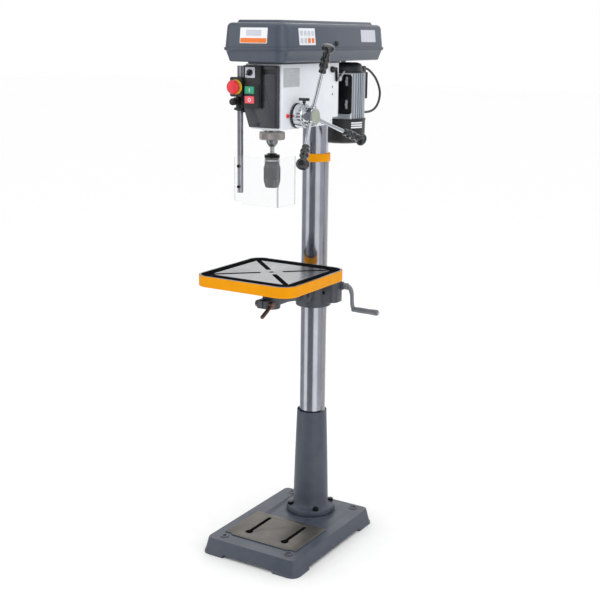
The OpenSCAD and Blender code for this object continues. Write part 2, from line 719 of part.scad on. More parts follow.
module work_table() {
    slot_in = 40;
    corner = norm([plate_half_w, plate_half_d]);
    lean = atan2(plate_half_d, plate_half_w);
    color("orange") difference() {
        union() {
            difference() {
                table_outline(0, rim_z, table_top);
                table_outline(rim_t, gutter_z, table_top + 1);
                table_outline(rim_t, rim_z - 1, deck_z);
            }
            slab(-plate_half_w, plate_half_w, table_y - plate_half_d, table_y + plate_half_d, 9, gutter_z - 1, plate_top);
            bar_z_dir(0, table_y, boss_under, 40, deck_z - boss_under + 1);
            box(-4, 4, table_y - table_half_d + rim_t - 1, table_y + table_half_d - rim_t + 1, rim_z + 4, deck_z + 1);
            box(-table_half_w + rim_t - 1, table_half_w - rim_t + 1, table_y - 4, table_y + 4, rim_z + 4, deck_z + 1);
            bar_z_dir(0, table_y, arm_boss_z + 3, stem_r, boss_under - arm_boss_z);
        }
        // Slots from near the centre out through the plate's corners
        for (a = [lean, 180 - lean, 180 + lean, -lean]) translate([0, table_y, 0]) rotate(a) {
            box(slot_in, corner - 8, -slot_w / 2, slot_w / 2, deck_z - 1, table_top);
            box(slot_in, corner + 4, -slot_w / 2, slot_w / 2, gutter_z, table_top);
            bar_z_dir(slot_in, 0, deck_z - 1, slot_w / 2, table_top - deck_z + 1);
        }
        bar_z_dir(0, table_y, arm_boss_z, centre_hole_r, table_top - arm_boss_z + 1);
    }
}

module head_outline(inset) {
    polygon(concat(
        arc(head_half_w - 30, head_back - 30, 30 - inset, 0, 90, 8),
        arc(-head_half_w + 30, head_back - 30, 30 - inset, 90, 180, 8),
        arc(-head_half_w + 4, -head_front + 4, 4 - inset, 180, 270, 3),
        arc(head_half_w - 4, -head_front + 4, 4 - inset, 270, 360, 3)));
}

module head_casting() {
    color("whitesmoke") difference() {
        union() {
            translate([0, 0, head_z]) linear_extrude(head_top - head_z) head_outline(0);
            bar_z_dir(0, spindle_y, head_z - 4.5, quill_r + 11, 5);
        }
        box(-80, 80, step_y, 80, head_z - 1, step_z);
        // The lower left edge is cut off in front of the column
        along_y(-head_front - 1, throat - 40) mirror([0, 1])
            polygon([[-head_half_w - 1, head_z - 1], [-head_half_w + 20, head_z - 1], [-head_half_w - 1, head_z + 63]]);
        bar_z_dir(0, spindle_y, head_z - 6, quill_r + run, seat_z - head_z + 6 - 4);
        bar_z_dir(0, spindle_y, seat_z - 5, hub_sleeve_r + 1, 8);
        bar_z_dir(0, spindle_y, seat_z, seat_r + run, 40);
        bar_x_dir(-quill_slot_half - gap, feed_y, hub_z, journal_r + run, 90);
        bar_x_dir(-90, feed_y, hub_z, feed_shaft_r + run, 90);
        bar_z_dir(0, 0, head_z - 1, column_r + run, column_top + gap - head_z + 1);
        for (x = [-1, 1]) bar_y_dir(x * bar_x, cavity_y1 - 4, bar_z, bar_r + run, 120);
        box(-cavity_half, cavity_half, cavity_y0, cavity_y1, cavity_z, head_top + 1);
        box(box_x0 + 10, box_x1 + 30, -head_front - 1, -head_front + 14, box_z0 + 8, box_z1 - 16);
        for (z = [1408, 1430]) bar_x_dir(column_r - 4, -8, z, 4 + run, 40);
        bar_x_dir(30, -17, head_z + 11.7, 3, 40);
        bar_x_dir(24, tension_y, tension_z, 6 + run, 60);
        bar_x_dir(bar_x, bar_lock_y, bar_z, 4 + run, 40);
        bar_z_dir(0, idler_pin_y, head_top - 24, 7 + run, 40);
    }
}

tension_y = -15;
tension_z = 1481;
bar_lock_y = 26;

module cover_face(inset) {
    polygon([[-head_half_w + inset, head_z + 4.5 + 58], [-head_half_w + 20 + inset, head_z + 4.5 + inset],
        [head_half_w - 7 - inset, head_z + 4.5 + inset], [head_half_w - 7 - inset, head_top - 4 - inset],
        [-head_half_w + inset, head_top - 4 - inset]]);
}

module cover_plan(inset, y1) {
    translate([0, 0, head_z - 10]) linear_extrude(head_top - head_z + 20) polygon(concat(
        arc(-head_half_w + 5, cover_front_y + 5, 5 - inset, 180, 270, 4),
        arc(head_half_w - 7 - 10, cover_front_y + 10, 10 - inset, 270, 360, 6),
        [[head_half_w - 7 - inset, y1], [-head_half_w + inset, y1]]));
}

module front_cover() {
    back = -head_front - gap;
    color([0.23, 0.23, 0.25]) difference() {
        intersection() {
            along_y(cover_front_y - 1, cover_d + 1 - gap) mirror([0, 1]) cover_face(0);
            cover_plan(0, back);
        }
        intersection() {
            along_y(cover_front_y + cover_t, cover_d) mirror([0, 1]) cover_face(cover_t);
            cover_plan(cover_t, 0);
        }
        // Long hand recess near the top, and the round hole low on the face
        hull() for (x = [4, 46]) bar_y_dir(x, cover_front_y - 1, 1478 + x / 20, 6.5, 4);
        bar_y_dir(-7, cover_front_y - 1, 1334, 5.5, 8);
        bar_y_dir(selector_x, cover_front_y - 1, selector_z, 6, 20);
        for (z = [start_z, stop_z]) bar_y_dir(button_x, cover_front_y - 1, z, 6, 20);
    }
}

module head_fittings() {
    color("dimgray") {
        // Two lock screws against the column and one plug screw, on the right side
        for (z = [1408, 1430]) bar_x_dir(column_r + run, -8, z, 4, head_half_w - column_r - 3);
        // Ball bearings of the upper pulley
        for (z = [seat_z + 0.2, seat_z + 13]) translate([0, spindle_y, z]) difference() {
            cylinder(r = seat_r, h = 12, $fn = fine);
            translate([0, 0, -1]) cylinder(r = hub_sleeve_r + run, h = 14, $fn = fine);
        }
        // Hinge pins of the lid
        for (y = hinge_y) bar_y_dir(hinge_x, y - 22, hinge_z, 1.8, 44);
        // Inlet gland of the supply lead, low on the casting's back
        bar_y_dir(-20, head_back + 0.1, 1400, 10, 6);
        bar_y_dir(-20, head_back + 6, 1400, 7.5, 10);
    }
}

module control_box() {
    y1 = cover_front_y - gap / 2;
    color([0.2, 0.2, 0.22]) difference() {
        union() {
            along_y(box_y, y1 - box_y) mirror([0, 1])
                polygon(rounded(box_x0, box_x1, box_z0, box_z1, 5, 4));
            along_y(box_y - 2, 3) mirror([0, 1])
                polygon(rounded(box_x0 + 3, box_x1 - 3, stop_z - 21, start_z + 16, 4, 4));
        }
        for (z = [start_z, stop_z]) {
            box(button_x - button_w / 2 - gap, button_x + button_w / 2 + gap, box_y - 3, y1 - 1.5,
                z - button_h / 2 - gap, z + button_h / 2 + gap);
            bar_y_dir(button_x, box_y, z, 5 + run, 20);
        }
        bar_y_dir(selector_x, box_y - 1, selector_z, 5 + run, 20);
    }
}

module plates() {
    color("silver") {
        difference() {
            box(selector_x - selector_plate_w / 2, selector_x + selector_plate_w / 2, box_y - 1.2, box_y - 0.1,
                selector_z - selector_plate_h / 2, selector_z + selector_plate_h / 2);
            bar_y_dir(selector_x, box_y - 3, selector_z, 5 + gap, 20);
        }
        box(head_half_w + 0.1, head_half_w + 0.9, -283, -198, 1437, 1489);
    }
}

module selector_knob() {
    color([0.1, 0.1, 0.1]) {
        bar_y_dir(selector_x, box_y - 1.5, selector_z, 5, 10);
        bar_y_dir(selector_x, box_y - 6.5, selector_z, 9, 5);
        translate([selector_x, box_y - 6, selector_z]) rotate([0, -45, 0]) box(-9, 9, -6, 0, -2.2, 2.2);
    }
}

module push_button(z) {
    translate([0, box_y, z]) {
        box(button_x - button_w / 2, button_x + button_w / 2, -4.5, 2.2, -button_h / 2, button_h / 2);
        bar_y_dir(button_x, 2, 0, 5, 8.5);
    }
}

module start_button() { color("mediumseagreen") push_button(start_z); }

module stop_button() { color("salmon") push_button(stop_z); }

module guard_bracket() {
    x1 = bracket_x1;
    x0 = x1 - 5;
    ear_x0 = rod_x - swivel_neck_r - 5;
    color([0.15, 0.15, 0.15]) {
        difference() {
            union() {
                box(x0, x1, rod_y - 14, rod_y + 44, swivel_z0 - ear_t - 6, estop_z + 26);
                for (z = [swivel_z0 - ear_t - gap, swivel_z1 + gap])
                    box(ear_x0, x1, rod_y - 14, rod_y + 18, z, z + ear_t);
            }
            for (z = [swivel_z0 - ear_t - gap, swivel_z1 + gap])
                bar_z_dir(rod_x, rod_y, z - 1, swivel_neck_r + run, ear_t + 2);
        }
        difference() {
            union() {
                box(estop_x - 21, box_x0 - 2 * gap, estop_box_y - estop_box_d, estop_box_y, estop_z - 27.5, estop_z + 27.5);
                bar_y_dir(estop_x, estop_box_y - estop_box_d - 2.5, estop_z, estop_r + 0.8, 3);
            }
            bar_y_dir(estop_x, estop_box_y - estop_box_d - 3, estop_z, 8 + run, 15);
        }
    }
}

module estop_button() {
    y0 = estop_box_y - estop_box_d - 2.5;
    color("red") translate([estop_x, y0, estop_z]) rotate([90, 0, 0]) rotate_extrude($fn = fine)
        polygon([[0, -7], [8, -7], [8, estop_travel + 0.5], [estop_r - 4, estop_travel + 1], [estop_r, estop_travel + 5],
            [estop_r - 1, estop_travel + 11], [estop_r - 6, estop_travel + 16], [0, estop_travel + 17.5]]);
}

module rod_section(grow) {
    h = rod_half + grow;
    square([2 * h, 2 * h], center = true);
}

module guard_swivel() {
    color([0.12, 0.12, 0.12]) difference() {
        union() {
            bar_z_dir(rod_x, rod_y, swivel_z0, swivel_r, swivel_z1 - swivel_z0);
            bar_z_dir(rod_x, rod_y, swivel_z0 - ear_t - 2, swivel_neck_r, swivel_z1 - swivel_z0 + 2 * ear_t + 4);
            box(rod_x - 8, rod_x + 8, rod_y - 22, rod_y, swivel_z0 + 8, swivel_z1 - 8);
        }
        translate([rod_x, rod_y, swivel_z0 - 20]) linear_extrude(80) rod_section(run);
        bar_y_dir(rod_x, rod_y - 30, knob_screw_z, 3 + run, 30);
    }
}

module guard_knob() {
    color([0.1, 0.1, 0.1]) {
        bar_y_dir(rod_x, rod_y - 30, knob_screw_z, 3, 30 - rod_half - gap);
        translate([rod_x, rod_y - 22.5, knob_screw_z]) rotate([90, 0, 0]) rotate_extrude($fn = soft)
            polygon([[0, 0], [6, 0], [7, 6], [10, 9], [10, 17], [7, 20], [0, 20]]);
    }
}

module guard_rod() {
    color("silver") difference() {
        translate([rod_x, rod_y, rod_z]) linear_extrude(rod_len) difference() {
            rod_section(0);
            for (a = [0:90:270]) rotate(a) translate([rod_half - 2, -2]) square([3, 4]);
            circle(r = 2.2, $fn = soft);
        }
        for (z = guard_screw_z) bar_y_dir(rod_x, rod_y - rod_half - 1, z, guard_screw_r + run, rod_half + 1);
    }
}

module chuck_guard() {
    x0 = rod_x - 14;
    y0 = guard_y - guard_t;
    flap_x = rod_x + 25;
    panel_y = y0 - 6;
    color([0.85, 0.9, 0.95, 0.35]) {
        difference() {
            translate([0, 0, guard_z]) linear_extrude(guard_h) polygon([[x0, guard_y], [x0, y0], [flap_x, y0],
                [flap_x + 14, panel_y], [guard_x1, panel_y], [guard_x1, panel_y + guard_side],
                [guard_x1 - guard_t, panel_y + guard_side], [guard_x1 - guard_t, panel_y + guard_t],
                [flap_x + 15, panel_y + guard_t], [flap_x + 1, guard_y]]);
            box(x0 - 1, flap_x - 12, y0 - 1, guard_y + 1, guard_z - 1, guard_z + 8);
            for (z = guard_screw_z) bar_y_dir(rod_x, y0 - 1, z, guard_screw_r + run, guard_t + 2);
        }
    }
    color("dimgray") for (z = guard_screw_z) {
        bar_y_dir(rod_x, y0 - 0.5, z, guard_screw_r, guard_t + gap + 4);
        bar_y_dir(rod_x, y0 - 3, z, 4.5, 2.9);
    }
}

module depth_pointer() {
    color("red") {
        translate([head_half_w + 0.1, feed_y - depth_ring_r - 12, hub_z + 1]) rotate([0, 90, 0]) cylinder(r = 6, h = 3.4, $fn = soft);
        box(head_half_w + 0.1, head_half_w + 3.5, feed_y - depth_ring_r - 8, feed_y - depth_ring_r - 0.8, hub_z - 1, hub_z + 3);
    }
}

module quill() {
    root = quill_line - dedendum;
    color("silver") difference() {
        translate([0, spindle_y, quill_z0]) cylinder(r = quill_r, h = quill_z1 - quill_z0, $fn = fine * 2);
        bar_z_dir(0, spindle_y, quill_z0 - 1, quill_bore_r, quill_z1 - quill_z0 + 2);
        bar_z_dir(0, spindle_y, quill_z0 - 1, bearing_r + run, bearing_h + 2);
        // Flat of the rack, with the gaps between its teeth
        translate([quill_slot_half, spindle_y, 0]) rotate([0, -90, 0]) linear_extrude(2 * quill_slot_half)
            polygon(quill_rack_cut());
    }
    color("dimgray") translate([0, spindle_y, quill_z0 + 0.5]) difference() {
        cylinder(r = bearing_r, h = bearing_h, $fn = fine);
        translate([0, 0, -1]) cylinder(r = spindle_r + run, h = bearing_h + 2, $fn = fine);
    }
}

// The cut that leaves the quill's rack, as points of height and distance from the quill's axis
function quill_rack_cut() =
    let (z0 = hub_z - 14, z1 = hub_z + feed_travel + 14, half = rack_pitch / 4 - backlash / 4, s = tan(press_a),
        k0 = ceil((z0 - hub_z) / rack_pitch + 0.1), k1 = floor((z1 - hub_z) / rack_pitch - 1.1))
    concat([[z0, quill_r + 2], [z0, quill_line - dedendum]],
        [for (k = [k0:k1], i = [0:3])
            let (c = hub_z + (k + 0.5) * rack_pitch, side = i < 2 ? -1 : 1,
                out = i == 1 || i == 2 ? addendum : -dedendum)
            [c + side * (half - out * s), quill_line + out]],
        [[z1, quill_line - dedendum], [z1, quill_r + 2]]);

module quill_cap() {
    color("gray") translate([0, spindle_y, 0]) rotate_extrude($fn = fine * 2) polygon([
        [nose_r + 0.5, cap_z0], [cap_r - 1.5, cap_z0], [cap_r, cap_z0 + 1.5], [cap_r, cap_z1 - 1.5],
        [cap_r - 1.5, cap_z1], [quill_r + run, cap_z1], [quill_r + run, quill_z0 - 0.1], [nose_r + 0.5, quill_z0 - 0.1]]);
}

module spindle() {
    color("silver") translate([0, spindle_y, 0]) difference() {
        rotate_extrude($fn = fine) polygon([[0, nose_z], [nose_r - 8, nose_z], [nose_r - 1.5, nose_z + 9],
            [nose_r, nose_z + 14], [nose_r, cap_z0 + 3], [spindle_r + 3, cap_z0 + 3.4], [spindle_r, cap_z0 + 3.6],
            [spindle_r, pulley_z + steps * step_h - 2], [0, pulley_z + steps * step_h - 2]]);
        translate([0, 0, nose_z - 1]) cylinder(r = arbor_r + run, h = 30, $fn = fine);
        for (a = [0, 180]) rotate(a) box(spindle_r - 1.5, spindle_r + 1, -2, 2, quill_z1 + 6, pulley_z + steps * step_h);
    }
}

jaw_w = 6.6;
jaw_h = 34;
jaw_z = chuck_z + 24;
core_r = 17.4;
core_z0 = chuck_z + 6;
sleeve_z1 = chuck_top - 18;

module chuck_body() {
    color([0.16, 0.16, 0.18]) translate([0, spindle_y, 0]) difference() {
        union() {
            translate([0, 0, core_z0]) cylinder(r = core_r, h = sleeve_z1 + 1 - core_z0, $fn = fine);
            translate([0, 0, sleeve_z1 + gap]) rotate_extrude($fn = fine) polygon([[0, 0], [20.5, 0], [20.5, 3.5],
                [22.2, 4], [22.2, 13], [20.5, 14], [15, 14.3], [13, 17.7], [0, 17.7]]);
            translate([0, 0, chuck_top - 1]) cylinder(r = arbor_r, h = nose_z - chuck_top + 25, $fn = fine);
        }
        translate([0, 0, core_z0 - 1]) cylinder(r = chuck_bore_r, h = 52, $fn = fine);
        for (i = [0:2]) rotate(90 + 120 * i)
            box(0, core_r + 1, -jaw_w / 2 - run, jaw_w / 2 + run, core_z0 - 1, jaw_z + jaw_h + 1);
    }
}

module chuck_sleeve() {
    inner = core_r + 0.1;
    mouth = chuck_bore_r + 1.3;
    color([0.5, 0.47, 0.46]) translate([0, spindle_y, 0]) rotate_extrude($fn = fine) polygon([
        [mouth, chuck_z], [chuck_r - 6, chuck_z], [chuck_r - 4.5, chuck_z + 2], [chuck_r - 0.5, chuck_z + 18],
        [chuck_r, chuck_z + 24], [chuck_r, chuck_z + 58], [chuck_r - 1.5, chuck_z + 62], [chuck_r - 3, chuck_z + 68],
        [chuck_r - 3, chuck_z + 77], [chuck_r - 2, chuck_z + 78], [chuck_r - 2, sleeve_z1], [inner, sleeve_z1],
        [inner, chuck_z + 5], [mouth, chuck_z + 4]]);
}

module jaw(i) {
    color("dimgray") translate([0, spindle_y, 0]) rotate(90 + 120 * i) translate([chuck_bore_r + 0.4, 0, jaw_z])
        rotate([90, 0, 0]) translate([0, 0, -jaw_w / 2]) linear_extrude(jaw_w)
            polygon([[0, 0], [3.4, 0], [5.6, 7], [5.6, jaw_h], [0, jaw_h]]);
}

module jaw_1() { jaw(0); }

module jaw_2() { jaw(1); }

module jaw_3() { jaw(2); }

module feed_pinion() {
    color("silver") {
        bar_x_dir(-head_half_w - 17, feed_y, hub_z, feed_shaft_r, head_half_w + 17 + 24);
        translate([-pinion_half, feed_y, hub_z]) rotate([0, 90, 0]) linear_extrude(2 * pinion_half)
            rotate(-90) polygon(gear_points(gear_m, feed_teeth));
        bar_x_dir(24, feed_y, hub_z, journal_r, head_half_w - 24 + 0.5);
        bar_x_dir(head_half_w, feed_y, hub_z, 9, boss_x - head_half_w);
    }
}

module spoke_frame(i) {
    translate([spoke_x, feed_y, hub_z]) rotate([-spoke_turn - 120 * i, 0, 0]) rotate([0, spoke_lean, 0]) children();
}

module feed_hub() {
    color("silver") {
        difference() {
            union() {
                translate([hub_x0 + 0.2, feed_y, hub_z]) rotate([0, 90, 0]) rotate_extrude($fn = fine) polygon([
                    [9 + run, 0], [depth_bore_r - run, 0], [depth_bore_r - run, depth_t + 0.1], [drum_r - 1, depth_t + 0.1],
                    [drum_r, depth_t + 1.1], [drum_r, depth_t + drum_len - 3], [drum_r - 2, depth_t + drum_len],
                    [boss_r, depth_t + drum_len], [boss_r, depth_t + drum_len + boss_len - 3],
                    [boss_r - 3, depth_t + drum_len + boss_len], [9 + run, depth_t + drum_len + boss_len]]);
            }
            bar_z_dir(depth_lock_x, feed_y, hub_z + 20, 3 + run, 30);
            for (i = [0:2]) spoke_frame(i) cylinder(r = spoke_r + run, h = 40, $fn = fine);
        }
        for (i = [0:2]) spoke_frame(i) translate([0, 0, 13]) cylinder(r = spoke_r, h = spoke_len - 27, $fn = fine);
        bar_x_dir(boss_x + boss_len + 0.3, feed_y, hub_z, boss_r - 4, 2);
        bar_x_dir(boss_x + 2, feed_y, hub_z, 8, boss_len);
    }
}

module feed_grips() {
    l = spoke_len - grip_start;
    color([0.15, 0.15, 0.17]) for (i = [0:2]) spoke_frame(i) translate([0, 0, grip_start]) rotate_extrude($fn = fine)
        polygon(concat([[spoke_r + run, 0]],
            [for (k = [0:12]) let (u = k / 12) [9.5 + 3.2 * sin(u * 180) + 1.1 * cos(u * 720), l * 0.68 * u]],
            [[10.5, l * 0.72], [16, l * 0.79], [grip_end_r, l * 0.86], [grip_end_r - 1, l * 0.93], [12, l * 0.985], [0, l]],
            [[0, l - 12], [spoke_r + run, l - 12]]));
}

module depth_ring() {
    color([0.15, 0.15, 0.2]) translate([hub_x0, feed_y, hub_z]) rotate([0, 90, 0]) rotate_extrude($fn = fine) polygon([
        [depth_bore_r, 0], [depth_ring_r - 1, 0], [depth_ring_r, 1], [depth_ring_r, depth_t - 2],
        [depth_ring_r - 1.5, depth_t], [depth_bore_r, depth_t]]);
}

module depth_lock() {
    color([0.1, 0.1, 0.1]) {
        bar_z_dir(depth_lock_x, feed_y, hub_z + drum_r - 8, 3, 18);
        hull() for (x = [-13, 13]) translate([depth_lock_x + x, feed_y, hub_z + drum_r + 9]) cylinder(r = 4.5, h = 8, $fn = soft);
    }
}

module return_spring() {
    x1 = -head_half_w - gap;
    cup = 24;
    color([0.15, 0.15, 0.15]) difference() {
        bar_x_dir(x1 - cup, feed_y, hub_z, 32, cup);
        bar_x_dir(x1 - cup + 3, feed_y, hub_z, 29.5, cup);
        bar_x_dir(x1 - cup - 1, feed_y, hub_z, feed_shaft_r + 0.5, 10);
    }
    // Flat clock spring, wound in four turns about the shaft
    n = 64;
    r0 = feed_shaft_r + 0.7;
    pitch = (29.2 - 1.4 - r0) / n;
    inner = [for (i = [0:n]) let (r = r0 + pitch * i, a = 1440 * i / n) [r * cos(a), r * sin(a)]];
    outer = [for (i = [n:-1:0]) let (r = r0 + 1.4 + pitch * i, a = 1440 * i / n) [r * cos(a), r * sin(a)]];
    color("dimgray") translate([x1 - cup + 5, feed_y, hub_z]) rotate([0, 90, 0]) linear_extrude(14) polygon(concat(inner, outer));
}

// Radius of a pulley's step, counted from the bottom
function step_radius(i, small_low) = step_r0 + step_dr * (small_low ? i : steps - 1 - i);

module pulley(y, bore, small_low, sleeve_down) {
    color("silver") translate([0, y, pulley_z]) difference() {
        union() {
            for (i = [0:steps - 1]) {
                r = step_radius(i, small_low);
                translate([0, 0, i * step_h]) rotate_extrude($fn = fine) polygon([[bore + 4, 0], [r, 0], [r, 1.5],
                    [r - belt_t - 1, 4], [r - belt_t - 1, step_h - 4], [r, step_h - 1.5], [r, step_h], [bore + 4, step_h]]);
            }
            translate([0, 0, -sleeve_down]) cylinder(r = bore + 6, h = steps * step_h + sleeve_down, $fn = fine);
        }
        translate([0, 0, -sleeve_down - 1]) cylinder(r = bore + run, h = steps * step_h + sleeve_down + 2, $fn = fine);
    }
}

module spindle_pulley() { pulley(spindle_y, spindle_r, false, pulley_z - seat_z - 0.3); }

module idler_pulley() { pulley(-idler_y, idler_shaft_r, true, 0); }

module idler_arm() {
    z0 = tray_z + cover_wall + 0.2;
    color("dimgray") {
        hull() for (y = [-idler_y, idler_pin_y]) translate([0, y, z0]) cylinder(r = 14, h = 4, $fn = soft);
        bar_z_dir(0, -idler_y, z0 + 1, idler_shaft_r, steps * step_h + pulley_z - z0);
        bar_z_dir(0, idler_pin_y, head_top - 23, 7, z0 - head_top + 26);
    }
}

// A belt round two pulleys that stand on the Y axis, at one step
module belt(y0, r0, y1, r1, step) {
    d = y1 - y0;
    a = asin((r0 - r1) / d);
    z0 = pulley_z + step * step_h + (step_h - belt_w) / 2;
    path = function(grow) concat(arc(0, y1, r1 + grow, a, 180 - a, 24), arc(0, y0, r0 + grow, 180 - a, 360 + a, 24));
    translate([0, 0, z0]) linear_extrude(belt_w) difference() {
        polygon(path(-0.6));
        polygon(path(-belt_t + 0.4));
    }
}

module v_belts() {
    color([0.1, 0.1, 0.1]) {
        belt(spindle_y, step_radius(front_belt_step, false), -idler_y, step_radius(front_belt_step, true), front_belt_step);
        belt(-idler_y, step_radius(rear_belt_step, true), motor_y, step_radius(rear_belt_step, false), rear_belt_step);
    }
}

module cover_slab(inset, z0, z1) {
    slab(-cover_half_w + inset, cover_half_w - inset, -cover_front + inset, cover_back - inset,
        max(cover_corner_r - inset, 4), z0, z1);
}

hinge_x = -cover_half_w - 5;
hinge_z = seam_z;
hinge_y = [-cover_front + 95, cover_back - 95];

module knuckle(y, len) {
    difference() {
        union() {
            bar_y_dir(hinge_x, y, hinge_z, 4.2, len);
            children();
        }
        bar_y_dir(hinge_x, y - 1, hinge_z, 1.8 + run, len + 2);
    }
}

module belt_tray() {
    color("slategray") difference() {
        union() {
            hull() {
                cover_slab(20, tray_z, tray_z + 1);
                cover_slab(15, tray_z + 5, tray_z + 6);
                cover_slab(5, seam_z - 4, seam_z - 3);
            }
            cover_slab(1, seam_z - 4.2, seam_z - gap);
            // Seat on the head casting
            translate([0, 0, head_top + 0.1]) linear_extrude(tray_z - head_top + 1) difference() {
                head_outline(3.9);
                polygon([for (p = [[-1, -1], [1, -1], [1, 1], [-1, 1]])
                    [p[0] * (cavity_half - 2), (p[1] > 0 ? cavity_y1 : cavity_y0)]]);
            }
            for (y = hinge_y) knuckle(y - 21, 12) box(hinge_x, -cover_half_w + 3, y - 21, y - 9, seam_z - 4.2, seam_z - 0.4);
            for (y = hinge_y) knuckle(y + 9, 12) box(hinge_x, -cover_half_w + 3, y + 9, y + 21, seam_z - 4.2, seam_z - 0.4);
        }
        hull() {
            cover_slab(20 + cover_wall, tray_z + cover_wall, tray_z + cover_wall + 1);
            cover_slab(15 + cover_wall, tray_z + 6, tray_z + 7);
            cover_slab(5 + cover_wall, seam_z - 4, seam_z + 1);
        }
        for (y = hinge_y) bar_y_dir(hinge_x, y - 24, hinge_z, 1.8 + run, 48);
        bar_z_dir(0, spindle_y, head_top - 1, seat_r + 1.5, 14);
        bar_z_dir(0, idler_pin_y, head_top - 1, 7.2, 14);
        hull() for (y = [motor_y - tension_travel, motor_y])
            translate([0, y, tray_z - 1]) cylinder(r = motor_shaft_r + 8, h = 8, $fn = soft);
    }
}

module belt_lid() {
    color("slategray") {
        difference() {
            union() {
                hull() {
                    cover_slab(4, seam_z, seam_z + 1);
                    cover_slab(10, lid_z - 14, lid_z - 13);
                    cover_slab(14, lid_z - 5, lid_z - 4);
                    cover_slab(24, lid_z - 1, lid_z);
                }
                cover_slab(0, seam_z, seam_z + 4.5);
                hull() {
                    cover_slab(36, lid_z - 1, lid_z);
                    cover_slab(42, lid_z + panel_h - 1, lid_z + panel_h);
                }
                for (y = hinge_y) {
                    bar_y_dir(hinge_x, y - 8.7, hinge_z, 4.2, 17.4);
                    box(hinge_x, -cover_half_w + 3, y - 8.7, y + 8.7, seam_z + 0.2, seam_z + 4.2);
                }
            }
            hull() {
                cover_slab(4 + cover_wall, seam_z - 5, seam_z + 1);
                cover_slab(10 + cover_wall, lid_z - 15, lid_z - 14);
                cover_slab(14 + cover_wall, lid_z - 7, lid_z - 6);
                cover_slab(24 + cover_wall, lid_z - 1 - cover_wall, lid_z - cover_wall);
            }
            for (y = hinge_y) bar_y_dir(hinge_x, y - 24, hinge_z, 1.8 + run, 48);
            bar_x_dir(cover_half_w - 20, knob_y, knob_z, 3 + run, 30);
        }
    }
}

knob_y = -62;
knob_z = seam_z + 16;

module lid_knob() {
    color([0.08, 0.08, 0.08]) translate([cover_half_w - 5 - cover_wall - 9, knob_y, knob_z]) rotate([0, 90, 0]) {
        cylinder(r = 3, h = 14, $fn = soft);
        translate([0, 0, 11.6]) cylinder(r1 = 7.5, r2 = 6, h = 6, $fn = fine);
        translate([-4, -4, 0]) cube([14, 8, 3]);
    }
}

module slide_bars() {
    color("silver") for (x = [-1, 1]) bar_y_dir(x * bar_x, bar_y0, bar_z, bar_r, motor_plate_y + 6 - bar_y0);
}

module motor_plate() {
    z0 = motor_z + 17;
    z1 = motor_z + motor_len - 3;
    y0 = motor_plate_y;
    t = 6;
    color([0.1, 0.1, 0.12]) difference() {
        along_y(y0, t) mirror([0, 1]) polygon(rounded(-motor_plate_half, motor_plate_half, z0, z1, 8, 5));
        for (x = [-1, 1]) bar_y_dir(x * bar_x, y0 - 1, bar_z, bar_r + run, t + 2);
        for (x = [-1, 1], z = [z0 + 30, z1 - 20]) {
            box(x * 58 - 4.5, x * 58 + 4.5, y0 - 1, y0 + t + 1, z - 10, z + 10);
            for (e = [-10, 10]) bar_y_dir(x * 58, y0 - 1, z + e, 4.5, t + 2);
        }
    }
    color("silver") for (x = [-1, 1], z = [z0 + 34, z1 - 20]) {
        bar_y_dir(x * 58, y0 - 4.5, z, 7, 4.3);
        bar_y_dir(x * 58, y0 - 0.3, z, 4.2, t + 8);
    }
}

module motor_body() {
    fins = 44;
    foot_y = motor_plate_y + 6 + gap;
    color([0.62, 0.66, 0.7]) difference() {
        union() {
            translate([0, motor_y, motor_z]) linear_extrude(motor_len) polygon([for (i = [0:fins - 1], j = [0:3])
                let (r = j == 1 || j == 2 ? motor_r : motor_r - 6, a = 360 / fins * (i + [0.2, 0.27, 0.5, 0.57][j]))
                [r * cos(a), r * sin(a)]]);
            box(-68, 68, foot_y, foot_y + 11, motor_z + 2, motor_z + motor_len - 2);
            box(-48, 48, foot_y, motor_y - 40, motor_z + 2, motor_z + motor_len - 2);
        }
        bar_z_dir(0, motor_y, motor_z - 1, motor_r - 34, motor_len + 2);
        for (x = [-1, 1], z = [motor_z + 51, motor_z + motor_len - 23]) bar_y_dir(x * 58, foot_y - 1, z, 4.2 + run, 14);
    }
    color([0.1, 0.1, 0.1]) bar_y_dir(lead_x, motor_y + motor_r - 14, low_gland_z, 8, lead_route[18][0] - motor_y - motor_r + 14);
}

module motor_ends() {
    z1 = motor_z + motor_len;
    color([0.12, 0.12, 0.13]) {
        // Top end bell with its bearing seat
        translate([0, motor_y, z1]) difference() {
            rotate_extrude($fn = fine) polygon([[0, 0.2], [motor_r - 5, 0.2], [motor_r - 5, 4], [motor_r - 9, 5],
                [motor_r - 10, 18], [motor_r - 14, 27], [motor_r - 26, 32], [0, 32]]);
            translate([0, 0, -1]) cylinder(r = motor_shaft_r + 0.4, h = 60, $fn = fine);
            translate([0, 0, -1]) cylinder(r = 50, h = 20, $fn = fine);
        }
        // Fan cowl below, open towards the motor, with a ring of air slots
        translate([0, motor_y, motor_z - cowl_len]) difference() {
            rotate_extrude($fn = fine) polygon([[0, 0], [cowl_r - 16, 0], [cowl_r - 4, 6], [cowl_r - 1, 16],
                [cowl_r, cowl_len - 8], [cowl_r + 1, cowl_len - 7], [cowl_r + 1, cowl_len - 0.2], [motor_r - 8, cowl_len - 0.2],
                [motor_r - 8, cowl_len - 8], [cowl_r - 3, cowl_len - 10], [cowl_r - 3.5, 17], [cowl_r - 6, 9],
                [cowl_r - 17, 3], [0, 3]]);
            for (r = [20:9:48], a = [0:45:315]) rotate(a) translate([r, 0, -1]) cylinder(r = 2.6, h = 6, $fn = 16);
        }
        // Lower bearing shield, inside the cowl's mouth
        translate([0, motor_y, motor_z - 6.8]) rotate_extrude($fn = fine) polygon([[motor_shaft_r + run, 0],
            [motor_r - 8.4, 0], [motor_r - 8.4, 6.6], [motor_shaft_r + run, 6.6]]);
    }
}

